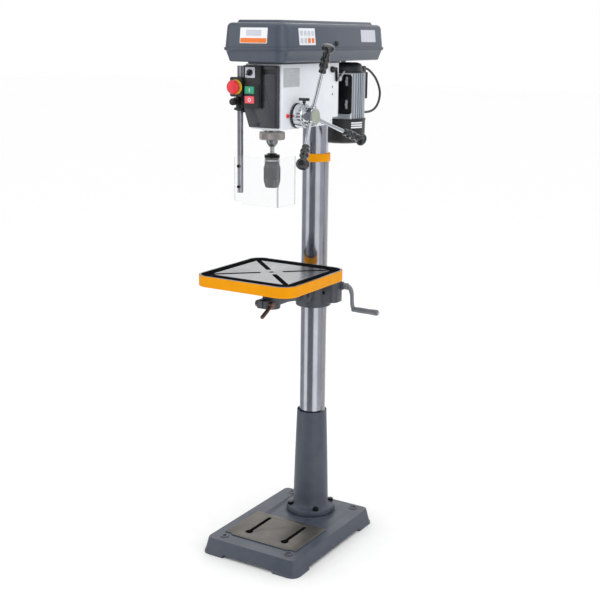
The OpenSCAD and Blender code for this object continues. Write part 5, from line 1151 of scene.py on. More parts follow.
@dataclass
class Guard:
    """The bracket with the stop button, the swivel, the grooved rod and the clear sheet."""

    edge_z: Pair = (1100.0, 1240.0)
    rod_z: Pair = (1131.0, 1494.0)
    stop_at: Pair = (-74.0, 1435.5)
    clamp_z: float = 1394.0
    screws_z: Pair = (1149.0, 1209.0)

    def build(self) -> None:
        """Builds every piece of the guard."""
        self.bracket()
        self.mushroom()
        self.swivel()
        self.knob()
        self.rod()
        self.sheet()

    def bracket(self) -> None:
        """Builds the plate, the two ears and the box of the stop button, with its yellow ring."""
        x, y = ROD
        parts = [block((-67.3, -304, 1363.3), (-62.3, -246, 1461.5), 0.8)]
        for z0 in (1369.0, 1413.7):
            ear = block((-96.2, -304, z0), (-62.3, -272, z0 + 7), 0.0)
            pick(ear, Pick.EDGES, lambda c, d: abs(d.z) > 0.9 and c.x < -90)
            bpy.ops.mesh.bevel(offset=10 * MM, segments=8)
            idle()
            parts.append(soften(combine(ear, [pin(Axis.Z, (x, y, 0), 11.04, z0 - 1, z0 + 8)]), 0.5))
        box = prism(round_corners(-95, -53.6, 1408, 1463, 5, 5), Axis.Y, -320, -304)
        box = soften(box, 1.2, 3)
        cx, cz = self.stop_at
        box = combine(box, [pin(Axis.Y, (cx, 0, cz), 8.05, -330, -300),
                            block((-91, -317, 1412), (-58, -303.9, 1459))])
        parts.append(box)
        casing = gather(parts)
        coat(casing, Finishes.BLACK_ABS)
        ring = lathe([(8.05, -320), (20.8, -320), (20.8, -321.9), (20.2, -322.5), (8.05, -322.5),
                      (8.05, -320)], Axis.Y, (cx, 0, cz), 64)
        coat(ring, Finishes.YELLOW_ABS)
        done(gather([casing, ring]), "stop_box_and_bracket", Finishes.BLACK_ABS, "stand", "guard_bracket")

    def mushroom(self) -> None:
        """Builds the red mushroom head of the emergency stop."""
        cx, cz = self.stop_at
        face = -322.5
        profile = [(0, 7), (7.8, 7), (8, 6.6), (8, -5.5), (15.6, -5.8), (17.6, -6.6), (19.4, -8.4),
                   (20, -10.4), (19.8, -12.8), (19.2, -15.2), (17.8, -17.8), (15.8, -19.8), (13, -21.2),
                   (9, -22.1), (4, -22.5), (0, -22.5)]
        head = lathe([(r, face + h) for r, h in profile], Axis.Y, (cx, 0, cz), 72)
        done(head, "emergency_stop_head", Finishes.RED_ABS, "estop", "estop_button")

    def swivel(self) -> None:
        """Builds the collar that turns in the ears and holds the rod."""
        x, y = ROD
        body = lathe([(0, 1367.3), (10.5, 1367.3), (10.99, 1367.8), (10.99, 1376.3), (12.19, 1376.3),
                      (12.19, 1413.7), (10.99, 1413.7), (10.99, 1422.2), (10.5, 1422.7), (0, 1422.7)],
                     centre=(x, y, 0), steps=64)
        boss = block((x - 8, y - 22, 1384.3), (x + 8, y, 1405.7), 0.0)
        body = combine(body, [soften(boss, 1.0)], Join.ADD)
        hole = block((x - 6.55, y - 6.55, 1360), (x + 6.55, y + 6.55, 1430))
        body = combine(body, [hole, pin(Axis.Y, (x, 0, self.clamp_z), 3.05, y - 30, y, 0, 24)])
        done(body, "guard_collar", Finishes.BLACK_ABS, "guard_collar", "guard_swivel")

    def knob(self) -> None:
        """Builds the clamping knob, its rim scalloped for the fingers."""
        x, y = ROD[0], -312.5
        head = lathe([(0, y), (6, y), (7, y - 6), (9.4, y - 8.4), (10, y - 9.4), (10, y - 17), (9, y - 19.2),
                      (7, y - 20), (0, y - 20)], Axis.Y, (x, 0, self.clamp_z), 64)
        grooves = [pin(Axis.Y, (gx, 0, gz), 1.6, y - 22, y - 7.5, 0, 12)
                   for gx, gz in around(12, 10.9, (x, self.clamp_z))]
        head = combine(head, [gather(grooves)])
        shank = pin(Axis.Y, (x, 0, self.clamp_z), 3, y - 1, -296.8, 0.4, 24)
        coat(shank, Finishes.GEAR_STEEL)
        coat(head, Finishes.BLACK_ABS)
        done(gather([head, shank]), "guard_clamp_knob", Finishes.BLACK_ABS, "guard_screw", "guard_knob")

    def rod(self) -> None:
        """Builds the grooved square rod."""
        x, y = ROD
        ring = [(6.5, 2), (6.5, 5.9), (5.9, 6.5), (2, 6.5), (2, 3.5), (-2, 3.5), (-2, 6.5), (-5.9, 6.5),
                (-6.5, 5.9), (-6.5, 2), (-3.5, 2), (-3.5, -2), (-6.5, -2), (-6.5, -5.9), (-5.9, -6.5),
                (-2, -6.5), (-2, -3.5), (2, -3.5), (2, -6.5), (5.9, -6.5), (6.5, -5.9), (6.5, -2), (3.5, -2),
                (3.5, 2)]
        rod = prism([(x + a, y + b) for a, b in ring], Axis.Z, *self.rod_z)
        rod = combine(rod, [pin(Axis.Z, (x, y, 0), 2.2, 1100, 1500, 0, 24)] +
                      [pin(Axis.Y, (x, 0, z), 2.45, y - 10, y + 10, 0, 24) for z in self.screws_z])
        done(rod, "guard_rod_profile", Finishes.ROD_ALLOY, "guard", "guard_rod", smooth=20)

    def sheet(self) -> None:
        """Builds the bent clear sheet with its two screws."""
        ring = [(-94, -296.8), (-94, -299.8), (-55, -299.8), (-41, -305.8), (56, -305.8), (58.4, -305.3),
                (59.6, -303.8), (60, -301.8), (60, -211.8), (57, -211.8), (57, -301.6), (56.6, -302.5),
                (55.6, -302.8), (-40, -302.8), (-54, -296.8)]
        sheet = prism(ring, Axis.Z, *self.edge_z)
        sheet = combine(sheet, [block((-120, -320, 1090), (-67, -280, 1108))])
        pick(sheet, Pick.EDGES, lambda c, d: abs(d.y) > 0.9 and c.z > 1239 and c.x < -93)
        bpy.ops.mesh.bevel(offset=8 * MM, segments=6)
        idle()
        coat(sheet, Finishes.CLEAR)
        # Grey on the sheet's cut edges, seen through its thickness, and grey painted on the bend's faces as
        # painted shade where the bend refracts the light
        paint(sheet, Finishes.CLEAR_EDGE, lambda c, n: abs(n.z) > 0.7 or c.x < -93.5 or n.y > 0.9
              and c.y > -213 or abs(n.z) < 0.3 and c.x > 56.2 and c.y < -301.6)
        done(sheet, "clear_guard_sheet", Finishes.CLEAR, "guard", "chuck_guard", smooth=40)
        heads = []
        for z in self.screws_z:
            heads.append(lathe([(0, -296.9), (2.4, -296.9), (2.4, -299.9), (4.5, -299.9), (4.5, -301.6),
                                (3.9, -302.6), (3.2, -302.8), (2.1, -302.8), (2.1, -301.2), (0, -301.2)],
                               Axis.Y, (ROD[0], 0, z), 32))
        done(gather(heads), "guard_screws", Finishes.BLACK_OXIDE, "guard", "chuck_guard")


def tube(points: Sequence[Point], radius: float, girths: Optional[Sequence[float]] = None,
         rounds: int = 5) -> Piece:
    """Draws a round bar along a smooth curve and makes it a closed mesh.

    Args:
        points: The places on its centre line.
        radius: Its radius.
        girths: The factor on the radius at each point.
        rounds: How finely the section is divided.

    Returns:
        The bar.
    """
    idle()
    bpy.ops.curve.primitive_bezier_curve_add()
    line = bpy.context.object
    spline = line.data.splines[0]
    spline.bezier_points.add(len(points) - 2)
    for i, at in enumerate(points):
        held = spline.bezier_points[i]
        held.handle_left_type = held.handle_right_type = "AUTO"
        held.co = Vector(at) * MM
        held.radius = girths[i] if girths else 1.0
    line.data.bevel_depth = radius * MM
    line.data.bevel_resolution = rounds
    line.data.resolution_u = 6
    line.data.use_fill_caps = True
    bpy.ops.object.convert(target="MESH")
    piece = bpy.context.object
    edit()
    outward()
    return piece


@dataclass
class WorkTable:
    """The square table: painted rim, black gutter, ground plate with four slots, and the stem below."""

    half_w: float = 166.0
    half_d: float = 167.0
    corner: float = 45.0
    top: float = 896.5
    rim_h: float = 32.2
    rim_t: float = 6.0
    plate: Pair = (131.0, 125.0)
    gutter_z: float = 884.0
    deck_z: float = 876.0
    slot_w: float = 16.0

    def span(self, inset: float) -> Span:
        """Gives the outline drawn in by an inset."""
        return (-self.half_w + inset, self.half_w - inset, SPINDLE_Y - self.half_d + inset,
                SPINDLE_Y + self.half_d - inset)

    def outside(self, c: Vector, n: Vector) -> bool:
        """Tells whether a face belongs to the rim's outer side."""
        dx, dy = abs(c.x), abs(c.y - SPINDLE_Y)
        cx, cy = self.half_w - self.corner, self.half_d - self.corner
        if dx > cx and dy > cy:
            depth = self.corner - math.hypot(dx - cx, dy - cy)
        else:
            depth = min(self.half_w - dx, self.half_d - dy)
        return depth < 2.2 and c.z > self.top - self.rim_h - 1 and n.z < 0.75

    def build(self) -> None:
        """Builds the table as one casting with three finishes."""
        low = self.top - self.rim_h
        t = self.rim_t
        table = slab(self.span(0.6), self.corner - 0.6, low, [(0.6, -0.6), (self.rim_h - 1.4, 0), (0.5, 0.3),
                                                              (0.3, 0.8)], 12)
        table = combine(table, [slab(self.span(t), self.corner - t, self.gutter_z, [(20, 0)], 12),
                                slab(self.span(t), self.corner - t, low - 2, [(self.deck_z - low + 2, 0)],
                                     12)])
        w, d = self.plate
        plate = slab((-w, w, SPINDLE_Y - d, SPINDLE_Y + d), 9, self.gutter_z - 1, [(11.5, 0), (0.8, 0.8)], 6)
        below = [pin(Axis.Z, SPINDLE, 40, 850.6, self.deck_z + 1, 1.0, 64),
                 block((-4, SPINDLE_Y - 162, low + 4), (4, SPINDLE_Y + 162, self.deck_z + 1)),
                 block((-161, SPINDLE_Y - 4, low + 4), (161, SPINDLE_Y + 4, self.deck_z + 1)),
                 pin(Axis.Z, SPINDLE, 18, 789, 851, 0.6)]
        table = combine(table, [plate] + below, Join.ADD)
        reach, lean = math.hypot(w, d), math.degrees(math.atan2(d, w))
        cuts = []
        for angle in (lean, 180 - lean, 180 + lean, -lean):
            half = self.slot_w / 2
            through = block((40, -half, self.deck_z - 2), (reach - 8, half, 900))
            upper = block((reach - 20, -half, self.gutter_z), (reach + 4, half, 900))
            end = pin(Axis.Z, (40, 0, 0), half, self.deck_z - 2, 900)
            cuts += [place(one, SPINDLE, turned("Z", angle)) for one in (through, upper, end)]
        table = combine(table, cuts + [pin(Axis.Z, SPINDLE, 8, 780, 900)])
        coat(table, Finishes.BLACK_COAT)
        paint(table, Finishes.ORANGE_COAT, self.outside)
        paint(table, Finishes.PLATE_STEEL, lambda c, n: c.z > self.gutter_z + 10.4 and n.z > 0.4 and
              abs(c.x) < w + 1 and abs(c.y - SPINDLE_Y) < d + 1)
        done(table, "square_work_table", Finishes.ORANGE_COAT, "table", "work_table", smooth=30)


@dataclass
class Carrier:
    """The bracket on the column, its lock, the crank, the tilting arm and the table's lock."""

    tilt_z: float = 800.0
    crank_at: Pair = (16.0, 817.0)
    lock_at: Pair = (70.0, 790.0)
    table_lock: Pair = (-279.0, 804.0)

    def build(self) -> None:
        """Builds every piece of the carrier."""
        self.bracket()
        self.column_lock()
        self.crank()
        self.grip()
        self.arm()
        self.arm_lock()

    def bracket(self) -> None:
        """Builds the collar with its gear housing, clamp ears and tilt flange."""
        shaft, gear = (0, *self.crank_at), (53.75, 0, 797)
        body = lathe([(0, 748), (54, 748), (56, 750), (56, 831), (54.5, 833), (0, 833)], steps=96)
        adds = [soften(prism(round_corners(0, 94, -28, 32, 20, 8), Axis.Z, 767, 833), 1.6, 3, 40),
                block((-24, 0, 768), (24, 84, 812), 2.0), block((-24, -62, 770), (24, 0, 833), 2.0),
                pin(Axis.Y, (0, 0, self.tilt_z), 34, -70, -58, 1.0, 64), pin(Axis.X, shaft, 13, 90, 99, 0.8)]
        body = combine(body, adds, Join.ADD)
        cuts = [pin(Axis.Z, (0, 0, 0), 40.05, 740, 840, 0, 128), block((0, -9.5, 740), (45.6, 9.5, 840)),
                block((-1.5, 38, 740), (1.5, 90, 840)), pin(Axis.X, (0, *self.lock_at), 6.05, -30, 30, 0, 32),
                pin(Axis.Y, (0, 0, self.tilt_z), 8.05, -71, -55, 0, 32),
                pin(Axis.Y, gear, 15, -9.5, 24.4, 0, 32), pin(Axis.Y, gear, 5.05, -29, 35, 0, 32),
                pin(Axis.X, shaft, 10.2, 46.8, 72.4, 0, 32), pin(Axis.X, shaft, 7.05, 47, 110, 0, 32)]
        done(combine(body, cuts), "lift_bracket_casting", Finishes.DARK_COAT, "bracket", "table_bracket")

    def column_lock(self) -> None:
        """Builds the clamp bolt, its nut and the lever with its ball."""
        y, z = self.lock_at
        lever = lathe([(0, 0), (5.5, 0), (4.5, 66), (0, 66)], steps=32)
        lever = place(lever, (-32, y, z), turned("Y", 6) @ turned("X", 180))
        ball = lathe([(8 * math.sin(math.pi * i / 16), -8 * math.cos(math.pi * i / 16)) for i in range(17)],
                     Axis.Z, (-39, y, 724), 32)
        coat(ball, Finishes.BAKELITE)
        metal = gather([pin(Axis.X, (0, y, z), 6, -31, 32, 0.6), pin(Axis.X, (0, y, z), 10, -38, -24.3, 1.2),
                        lathe([(0, 24.2), (10.5, 24.2), (10.5, 30.8), (9.4, 31.7), (0, 31.7)], Axis.X,
                              (0, y, z), 6), lever])
        coat(metal, Finishes.BLACK_OXIDE)
        done(gather([metal, ball]), "column_clamp_lever", Finishes.BLACK_OXIDE, "column_clamp", "column_lock")

    def crank(self) -> None:
        """Builds the worm, its shaft, the curved arm and the grip's pin."""
        y, z = self.crank_at
        helix = [[(47.4 + 2 + 20 * i / 48, y + 8 * math.cos(a), z + 8 * math.sin(a)) for i,
                  a in ((i, math.pi * start + math.tau * 20 * i / 48 / 12.566) for i in range(49))]
                 for start in (0, 1)]
        worm = gather([pin(Axis.X, (0, y, z), 6, 47.4, 71.4, 0.5)] +
                      [tube(one, 1.3, rounds=2) for one in helix] +
                      [pin(Axis.X, (0, y, z), 7, 70.4, 116, 0.5)])
        coat(worm, Finishes.GEAR_STEEL)
        boss = lathe([(0, 99.4), (9.6, 99.4), (10.6, 100.4), (10.6, 115.2), (9.2, 116.6), (0, 116.6)], Axis.X,
                     (0, y, z), 48)
        arm = tube([(106, y, z + 1), (116, y, z), (124, y, z - 6), (129, y, z - 17), (131, y, z - 31),
                    (131.6, y, z - 45), (133, y, z - 58), (137.4, y, z - 70)], 6.4,
                   [1.1, 1.2, 1.15, 1.05, 0.95, 0.95, 1.0, 1.1], 6)
        eye = lathe([(0, 133.6), (8, 133.6), (8.5, 134.4), (8.5, 140.2), (7.6, 141), (0, 141)], Axis.X,
                    (0, y, z - 70), 40)
        arm = combine(boss, [arm, eye], Join.ADD)
        coat(arm, Finishes.CAST_CRANK)
        rod = gather([pin(Axis.X, (0, y, z - 70), 4, 140, 224, 0.4, 32),
                      pin(Axis.X, (0, y, z - 70), 6, 223.6, 226.1, 0.6)])
        coat(rod, Finishes.GEAR_STEEL)
        done(gather([arm, worm, rod]), "lift_crank_arm", Finishes.CAST_CRANK, "crank_arm", "crank", smooth=50)

    def grip(self) -> None:
        """Builds the turned grip."""
        x0 = 141.3
        profile = [(4.05, 0), (7, 0), (8, 1), (8.6, 3), (8.9, 14), (9, 25), (8.8, 40), (8.7, 50), (9.2, 64),
                   (9.6, 74), (9.4, 78), (8.6, 81), (7, 82), (4.05, 82), (4.05, 0)]
        grip = lathe([(r, x0 + h) for r, h in profile], Axis.X, (0, self.crank_at[0], self.crank_at[1] - 70),
                     48)
        done(grip, "lift_crank_grip", Finishes.CAST_CRANK, "crank_handle", "crank_grip")

    def arm(self) -> None:
        """Builds the arm with its tilt disc, beam, rib and split boss."""
        z = self.tilt_z
        body = pin(Axis.Y, (0, 0, z), 34, -79.3, -70.3, 1.0, 64)
        beam = prism([(-15, z - 9), (15, z - 9), (15, z + 26), (-15, z + 26)], Axis.Y, SPINDLE_Y, -74.3)
        rib = prism([(SPINDLE_Y + 20, z - 4), (-74.3, z - 23), (-74.3, z), (SPINDLE_Y + 20, z)], Axis.X, -6,
                    6)
        adds = [pin(Axis.Y, (0, 0, z), 8, -71.3, -57.3, 0.6), soften(beam, 3, 3), soften(rib, 1.2, 2),
                block((-26, -96.3, z - 16), (26, -74.3, z + 20), 4, 3),
                lathe([(0, z - 14), (25.5, z - 14), (27, z - 12.5), (27, 849.3), (26, 850.3), (0, 850.3)],
                      Axis.Z, SPINDLE, 64), block((-22, self.table_lock[0] - 12, self.table_lock[1] - 13),
                                                  (18, SPINDLE_Y, self.table_lock[1] + 13), 3, 3)]
        body = combine(body, adds, Join.ADD)
        cuts = [pin(Axis.Z, SPINDLE, 18.05, 780, 860, 0, 64),
                block((-1.5, -292, 780), (1.5, SPINDLE_Y - 16, 860)),
                pin(Axis.X, (0, self.table_lock[0], self.table_lock[1]), 5.05, -30, 30, 0, 32)]
        done(combine(body, cuts), "tilt_arm_casting", Finishes.DARK_COAT, "tilt_arm", "table_arm")

    def arm_lock(self) -> None:
        """Builds the bolt, its head and the bar handle."""
        y, z = self.table_lock
        handle = lathe([(0, 0), (5.2, 0), (5.4, 20), (6, 30), (6, 58), (5, 61), (3, 62), (0, 62)], steps=32)
        handle = place(handle, (24.5, y, z), turned("X", 116))
        lock = gather([pin(Axis.X, (0, y, z), 5, -29, 27, 0.5), pin(Axis.X, (0, y, z), 10.5, 18.3, 30.3, 1.4),
                       lathe([(0, -30.5), (9.6, -30.5), (10.5, -29.6), (10.5, -22.3), (0, -22.3)], Axis.X,
                             (0, y, z), 6), handle])
        done(lock, "table_clamp_bar", Finishes.COPPERED, "table_clamp", "table_lock")


@dataclass
class Spindle:
    """The quill's knurled cap and the keyed chuck."""

    cap_r: float = 37.0
    cap_z: Pair = (1286.5, 1309.0)
    sleeve_z: float = 1148.0

    def build(self) -> None:
        """Builds the cap, the chuck's core and its sleeve."""
        self.cap()
        self.core()
        self.sleeve()

    def knurl(self, inner: float, outer: float, count: int, low: float, high: float) -> Piece:
        """Builds a straight knurled band round the spindle's axis.

        Args:
            inner: The radius at the grooves.
            outer: The radius at the crests.
            count: The number of crests.
            low: The lower end.
            high: The upper end.

        Returns:
            The closed ring, solid to its axis.
        """
        ring = []
        for i in range(2 * count):
            a = math.tau * i / (2 * count)
            r = outer if i % 2 else inner
            ring.append((r * math.cos(a), SPINDLE_Y + r * math.sin(a)))
        return prism(ring, Axis.Z, low, high)

    def cap(self) -> None:
        """Builds the bearing cap: a knurled band between two plain lips, hollow round the nose."""
        low, high = self.cap_z
        r = self.cap_r
        body = lathe([(0, low), (r - 2, low), (r - 0.6, low + 1.6), (r - 0.6, high - 1.6), (r - 2, high),
                      (0, high)], Axis.Z, SPINDLE, 128)
        band = self.knurl(r - 0.7, r, 80, low + 2.6, high - 2.6)
        body = combine(combine(body, [band], Join.ADD), [pin(Axis.Z, SPINDLE, 17.5, low - 1, high + 1, 0, 64),
                                                         pin(Axis.Z, SPINDLE, 22.55, 1289.9, high + 1, 0,
                                                             96)])
        done(body, "quill_bearing_cap", Finishes.KNURLED, "quill_slide", "quill_cap", smooth=20)

    def core(self) -> None:
        """Builds the chuck's core with its key collar, jaw ways and arbor."""
        collar = lathe([(0, 1229.3), (20.5, 1229.3), (20.5, 1232.8), (22.2, 1233.3), (22.2, 1242.3),
                        (20.5, 1243.3), (15, 1243.6), (13, 1247), (0, 1247)], Axis.Z, SPINDLE, 96)
        notches = [pin(Axis.Z, (*at, 0), 1.5, 1239.2, 1244, 0, 10) for at in around(18, 22.6, (0, SPINDLE_Y))]
        collar = combine(collar, [gather(notches)])
        coat(collar, Finishes.BLACK_OXIDE)
        core = pin(Axis.Z, SPINDLE, 17.4, 1154, 1229.8, 0.4, 64)
        ways = [place(block((0, -3.35, 1150), (18.4, 3.35, 1207)), SPINDLE, turned("Z", a))
                for a in (90, 210, 330)]
        core = combine(core, [pin(Axis.Z, SPINDLE, 8.2, 1153, 1205, 0, 48)] + ways)
        coat(core, Finishes.GEAR_STEEL)
        arbor = pin(Axis.Z, SPINDLE, 6.6, 1246, 1290, 0.5)
        coat(arbor, Finishes.GEAR_STEEL)
        done(gather([collar, core, arbor]), "chuck_core_and_collar", Finishes.BLACK_OXIDE, "spindle_chuck",
             "chuck_body")

    def sleeve(self) -> None:
        """Builds the sleeve: tapered nose, knurled body, turned neck and bright toothed ring."""
        z = self.sleeve_z
        body = lathe([(9.5, z), (17.6, z), (18.8, z + 0.8), (20, z + 2.4), (24, z + 18), (24.5, z + 24),
                      (24.5, z + 58), (23, z + 62), (21.5, z + 67), (21.5, z + 76.4), (17.5, z + 76.4),
                      (17.5, z + 5), (9.5, z + 4), (9.5, z)], Axis.Z, SPINDLE, 96)
        grooves = [pin(Axis.Z, (*at, 0), 1.45, low, high, 0.4, 8) for at in around(36, 25.2, (0, SPINDLE_Y))
                   for low, high in ((z + 25, z + 39.5), (z + 42, z + 57))]
        body = combine(body, [gather(grooves)])
        coat(body, Finishes.BROWNED)
        paint(body, Finishes.BLACK_OXIDE, lambda c, n: c.z > z + 66.5 or z + 39.2 < c.z < z + 42.3
              or c.z < z + 2.6)
        ring = combine(self.knurl(21.3, 22.5, 40, z + 76.5, z + 81),
                       [pin(Axis.Z, SPINDLE, 17.5, z + 70, z + 90, 0, 64)])
        coat(ring, Finishes.GEAR_STEEL)
        done(gather([body, ring]), "chuck_knurled_sleeve", Finishes.BROWNED, "chuck_shell", "chuck_sleeve")


@dataclass
class Feed:
    """The chromed feed hub with its spokes, grips, depth ring, lock knob and pointer."""

    spoke_x: float = 111.8
    lean: float = 19.3
    first: float = 7.4
    spoke_r: float = 5.5
    grip_z: Pair = (132.7, 214.0)
    lock_x: float = 88.3

    def build(self) -> None:
        """Builds every piece of the hub."""
        self.ring()
        self.hub()
        self.grips()
        self.lock()
        self.pointer()

    def spoke(self, i: int) -> Matrix:
        """Gives the turn of one spoke's frame."""
        return turned("X", self.first - 120 * i) @ turned("Y", self.lean)

    def ring(self) -> None:
        """Builds the depth ring with a white mark every ten degrees."""
        ring = lathe([(24, 63), (35, 63), (36, 64), (36, 68), (34.5, 70), (24, 70), (24, 63)], Axis.X, HUB,
                     96)
        coat(ring, Finishes.BLACK_OXIDE)
        marks = []
        for i in range(36):
            long = 64.6 if i % 3 else 63.9
            mark = block((long, -0.35, 35.9), (67.9, 0.35, 36.06))
            marks.append(place(mark, HUB, turned("X", 10 * i)))
        marks = gather(marks)
        coat(marks, Finishes.WHITE_INK)
        done(gather([ring, marks]), "depth_scale_ring", Finishes.BLACK_OXIDE, "depth_stop", "depth_ring")

    def hub(self) -> None:
        """Builds the drum, the fluted boss, its cap and the three spokes."""
        drum = lathe([(9.05, 63.2), (23.95, 63.2), (23.95, 70.3), (33, 70.3), (34, 71.3), (34, 76),
                      (33.6, 76.5), (33.6, 78), (34, 78.5), (34, 94.2), (33.4, 95.8), (32, 97), (26.6, 97.4),
                      (26.6, 123), (25.4, 125.4), (23.6, 126.2), (9.05, 126.2), (9.05, 63.2)], Axis.X, HUB,
                     96)
        bore = pin(Axis.Z, (self.lock_x, FEED_Y, 0), 3.05, HUB_Z + 20, HUB_Z + 40, 0, 32)
        flutes = [pin(Axis.X, (0, *at), 2.0, 80.5, 99, 0.9, 12) for at in around(24, 34.9, HUB[1:], 7.5)]
        drum = combine(drum, [bore, gather(flutes)])
        rods = []
        for i in range(3):
            rods.append(place(pin(Axis.Z, (0, 0, 0), self.spoke_r, 13, 200, 0.6),
                              (self.spoke_x, FEED_Y, HUB_Z), self.spoke(i)))
            seat = lathe([(5.4, 24), (8.6, 24), (8.6, 30), (7.6, 31.4), (5.4, 31.4), (5.4, 24)], steps=32)
            rods.append(place(seat, (self.spoke_x, FEED_Y, HUB_Z), self.spoke(i)))
        chrome = gather([drum, pin(Axis.X, HUB, 8, 99, 128, 0.4)] + rods)
        coat(chrome, Finishes.CHROME)
        cap = lathe([(0, 126.5), (22.4, 126.5), (22.6, 126.8), (22.6, 128), (22, 128.6), (0, 128.6)], Axis.X,
                    HUB, 64)
        coat(cap, Finishes.CAP_FILM)
        done(gather([chrome, cap]), "feed_hub_and_spokes", Finishes.CHROME, "feed", "feed_hub")

    def grips(self) -> None:
        """Builds one grip, ribbed for the fingers with a mushroom end, and copies it to each spoke."""
        z0, z1 = self.grip_z
        long = z1 - z0
        ribs = []
        for i in range(31):
            u = i / 30
            ribs.append((9.6 + 3.0 * math.sin(math.pi * u) + 1.3 * math.cos(4 * math.tau * u * 0.75),
                         z0 + long * 0.68 * u))
        profile = [(5.55, z0)] + ribs + [(10.5, z0 + long * 0.72), (13.6, z0 + long * 0.75),
                                         (16.4, z0 + long * 0.79), (18.4, z0 + long * 0.83),
                                         (19, z0 + long * 0.865), (18.8, z0 + long * 0.9),
                                         (17.8, z0 + long * 0.935), (15.4, z0 + long * 0.965),
                                         (12, z0 + long * 0.985), (6, z0 + long * 0.996), (0, z1),
                                         (0, z1 - 12), (5.55, z1 - 12), (5.55, z0)]
        one = lathe(profile, steps=48)
        made = [place(twin(one), (self.spoke_x, FEED_Y, HUB_Z), self.spoke(i)) for i in range(3)]
        bpy.data.objects.remove(one)
        done(gather(made), "feed_spoke_grips", Finishes.BAKELITE, "feed", "feed_grips", smooth=60)

    def lock(self) -> None:
        """Builds the lock screw with its cross bar."""
        x, z = self.lock_x, HUB_Z
        bar = soften(prism(stadium((x - 13, FEED_Y), (x + 13, FEED_Y), 4.5, 4.49), Axis.Z, z + 43, z + 51),
                     1.2, 3, 50)
        neck = lathe([(0, z + 36), (5.5, z + 36), (5, z + 39), (4.4, z + 43.2), (0, z + 43.2)], Axis.Z,
                     (x, FEED_Y, 0), 32)
        shank = pin(Axis.Z, (x, FEED_Y, 0), 3, z + 26, z + 40, 0.3, 24)
        done(gather([bar, neck, shank]), "depth_lock_bar", Finishes.BAKELITE, "depth_screw", "depth_lock")

    def pointer(self) -> None:
        """Builds the red pointer beside the ring."""
        disc = lathe([(0, 62.1), (6, 62.1), (6, 64.6), (5, 65.5), (0, 65.5)], Axis.X, (0, -262, HUB_Z + 1),
                     40)
        blade = prism([(-258, HUB_Z - 1), (-252, HUB_Z - 1), (-250.8, HUB_Z + 1), (-252, HUB_Z + 3),
                       (-258, HUB_Z + 3)], Axis.X, 62.1, 65.3)
        done(gather([disc, soften(blade, 0.3)]), "depth_pointer_disc", Finishes.RED_ABS, "stand",
             "depth_pointer")


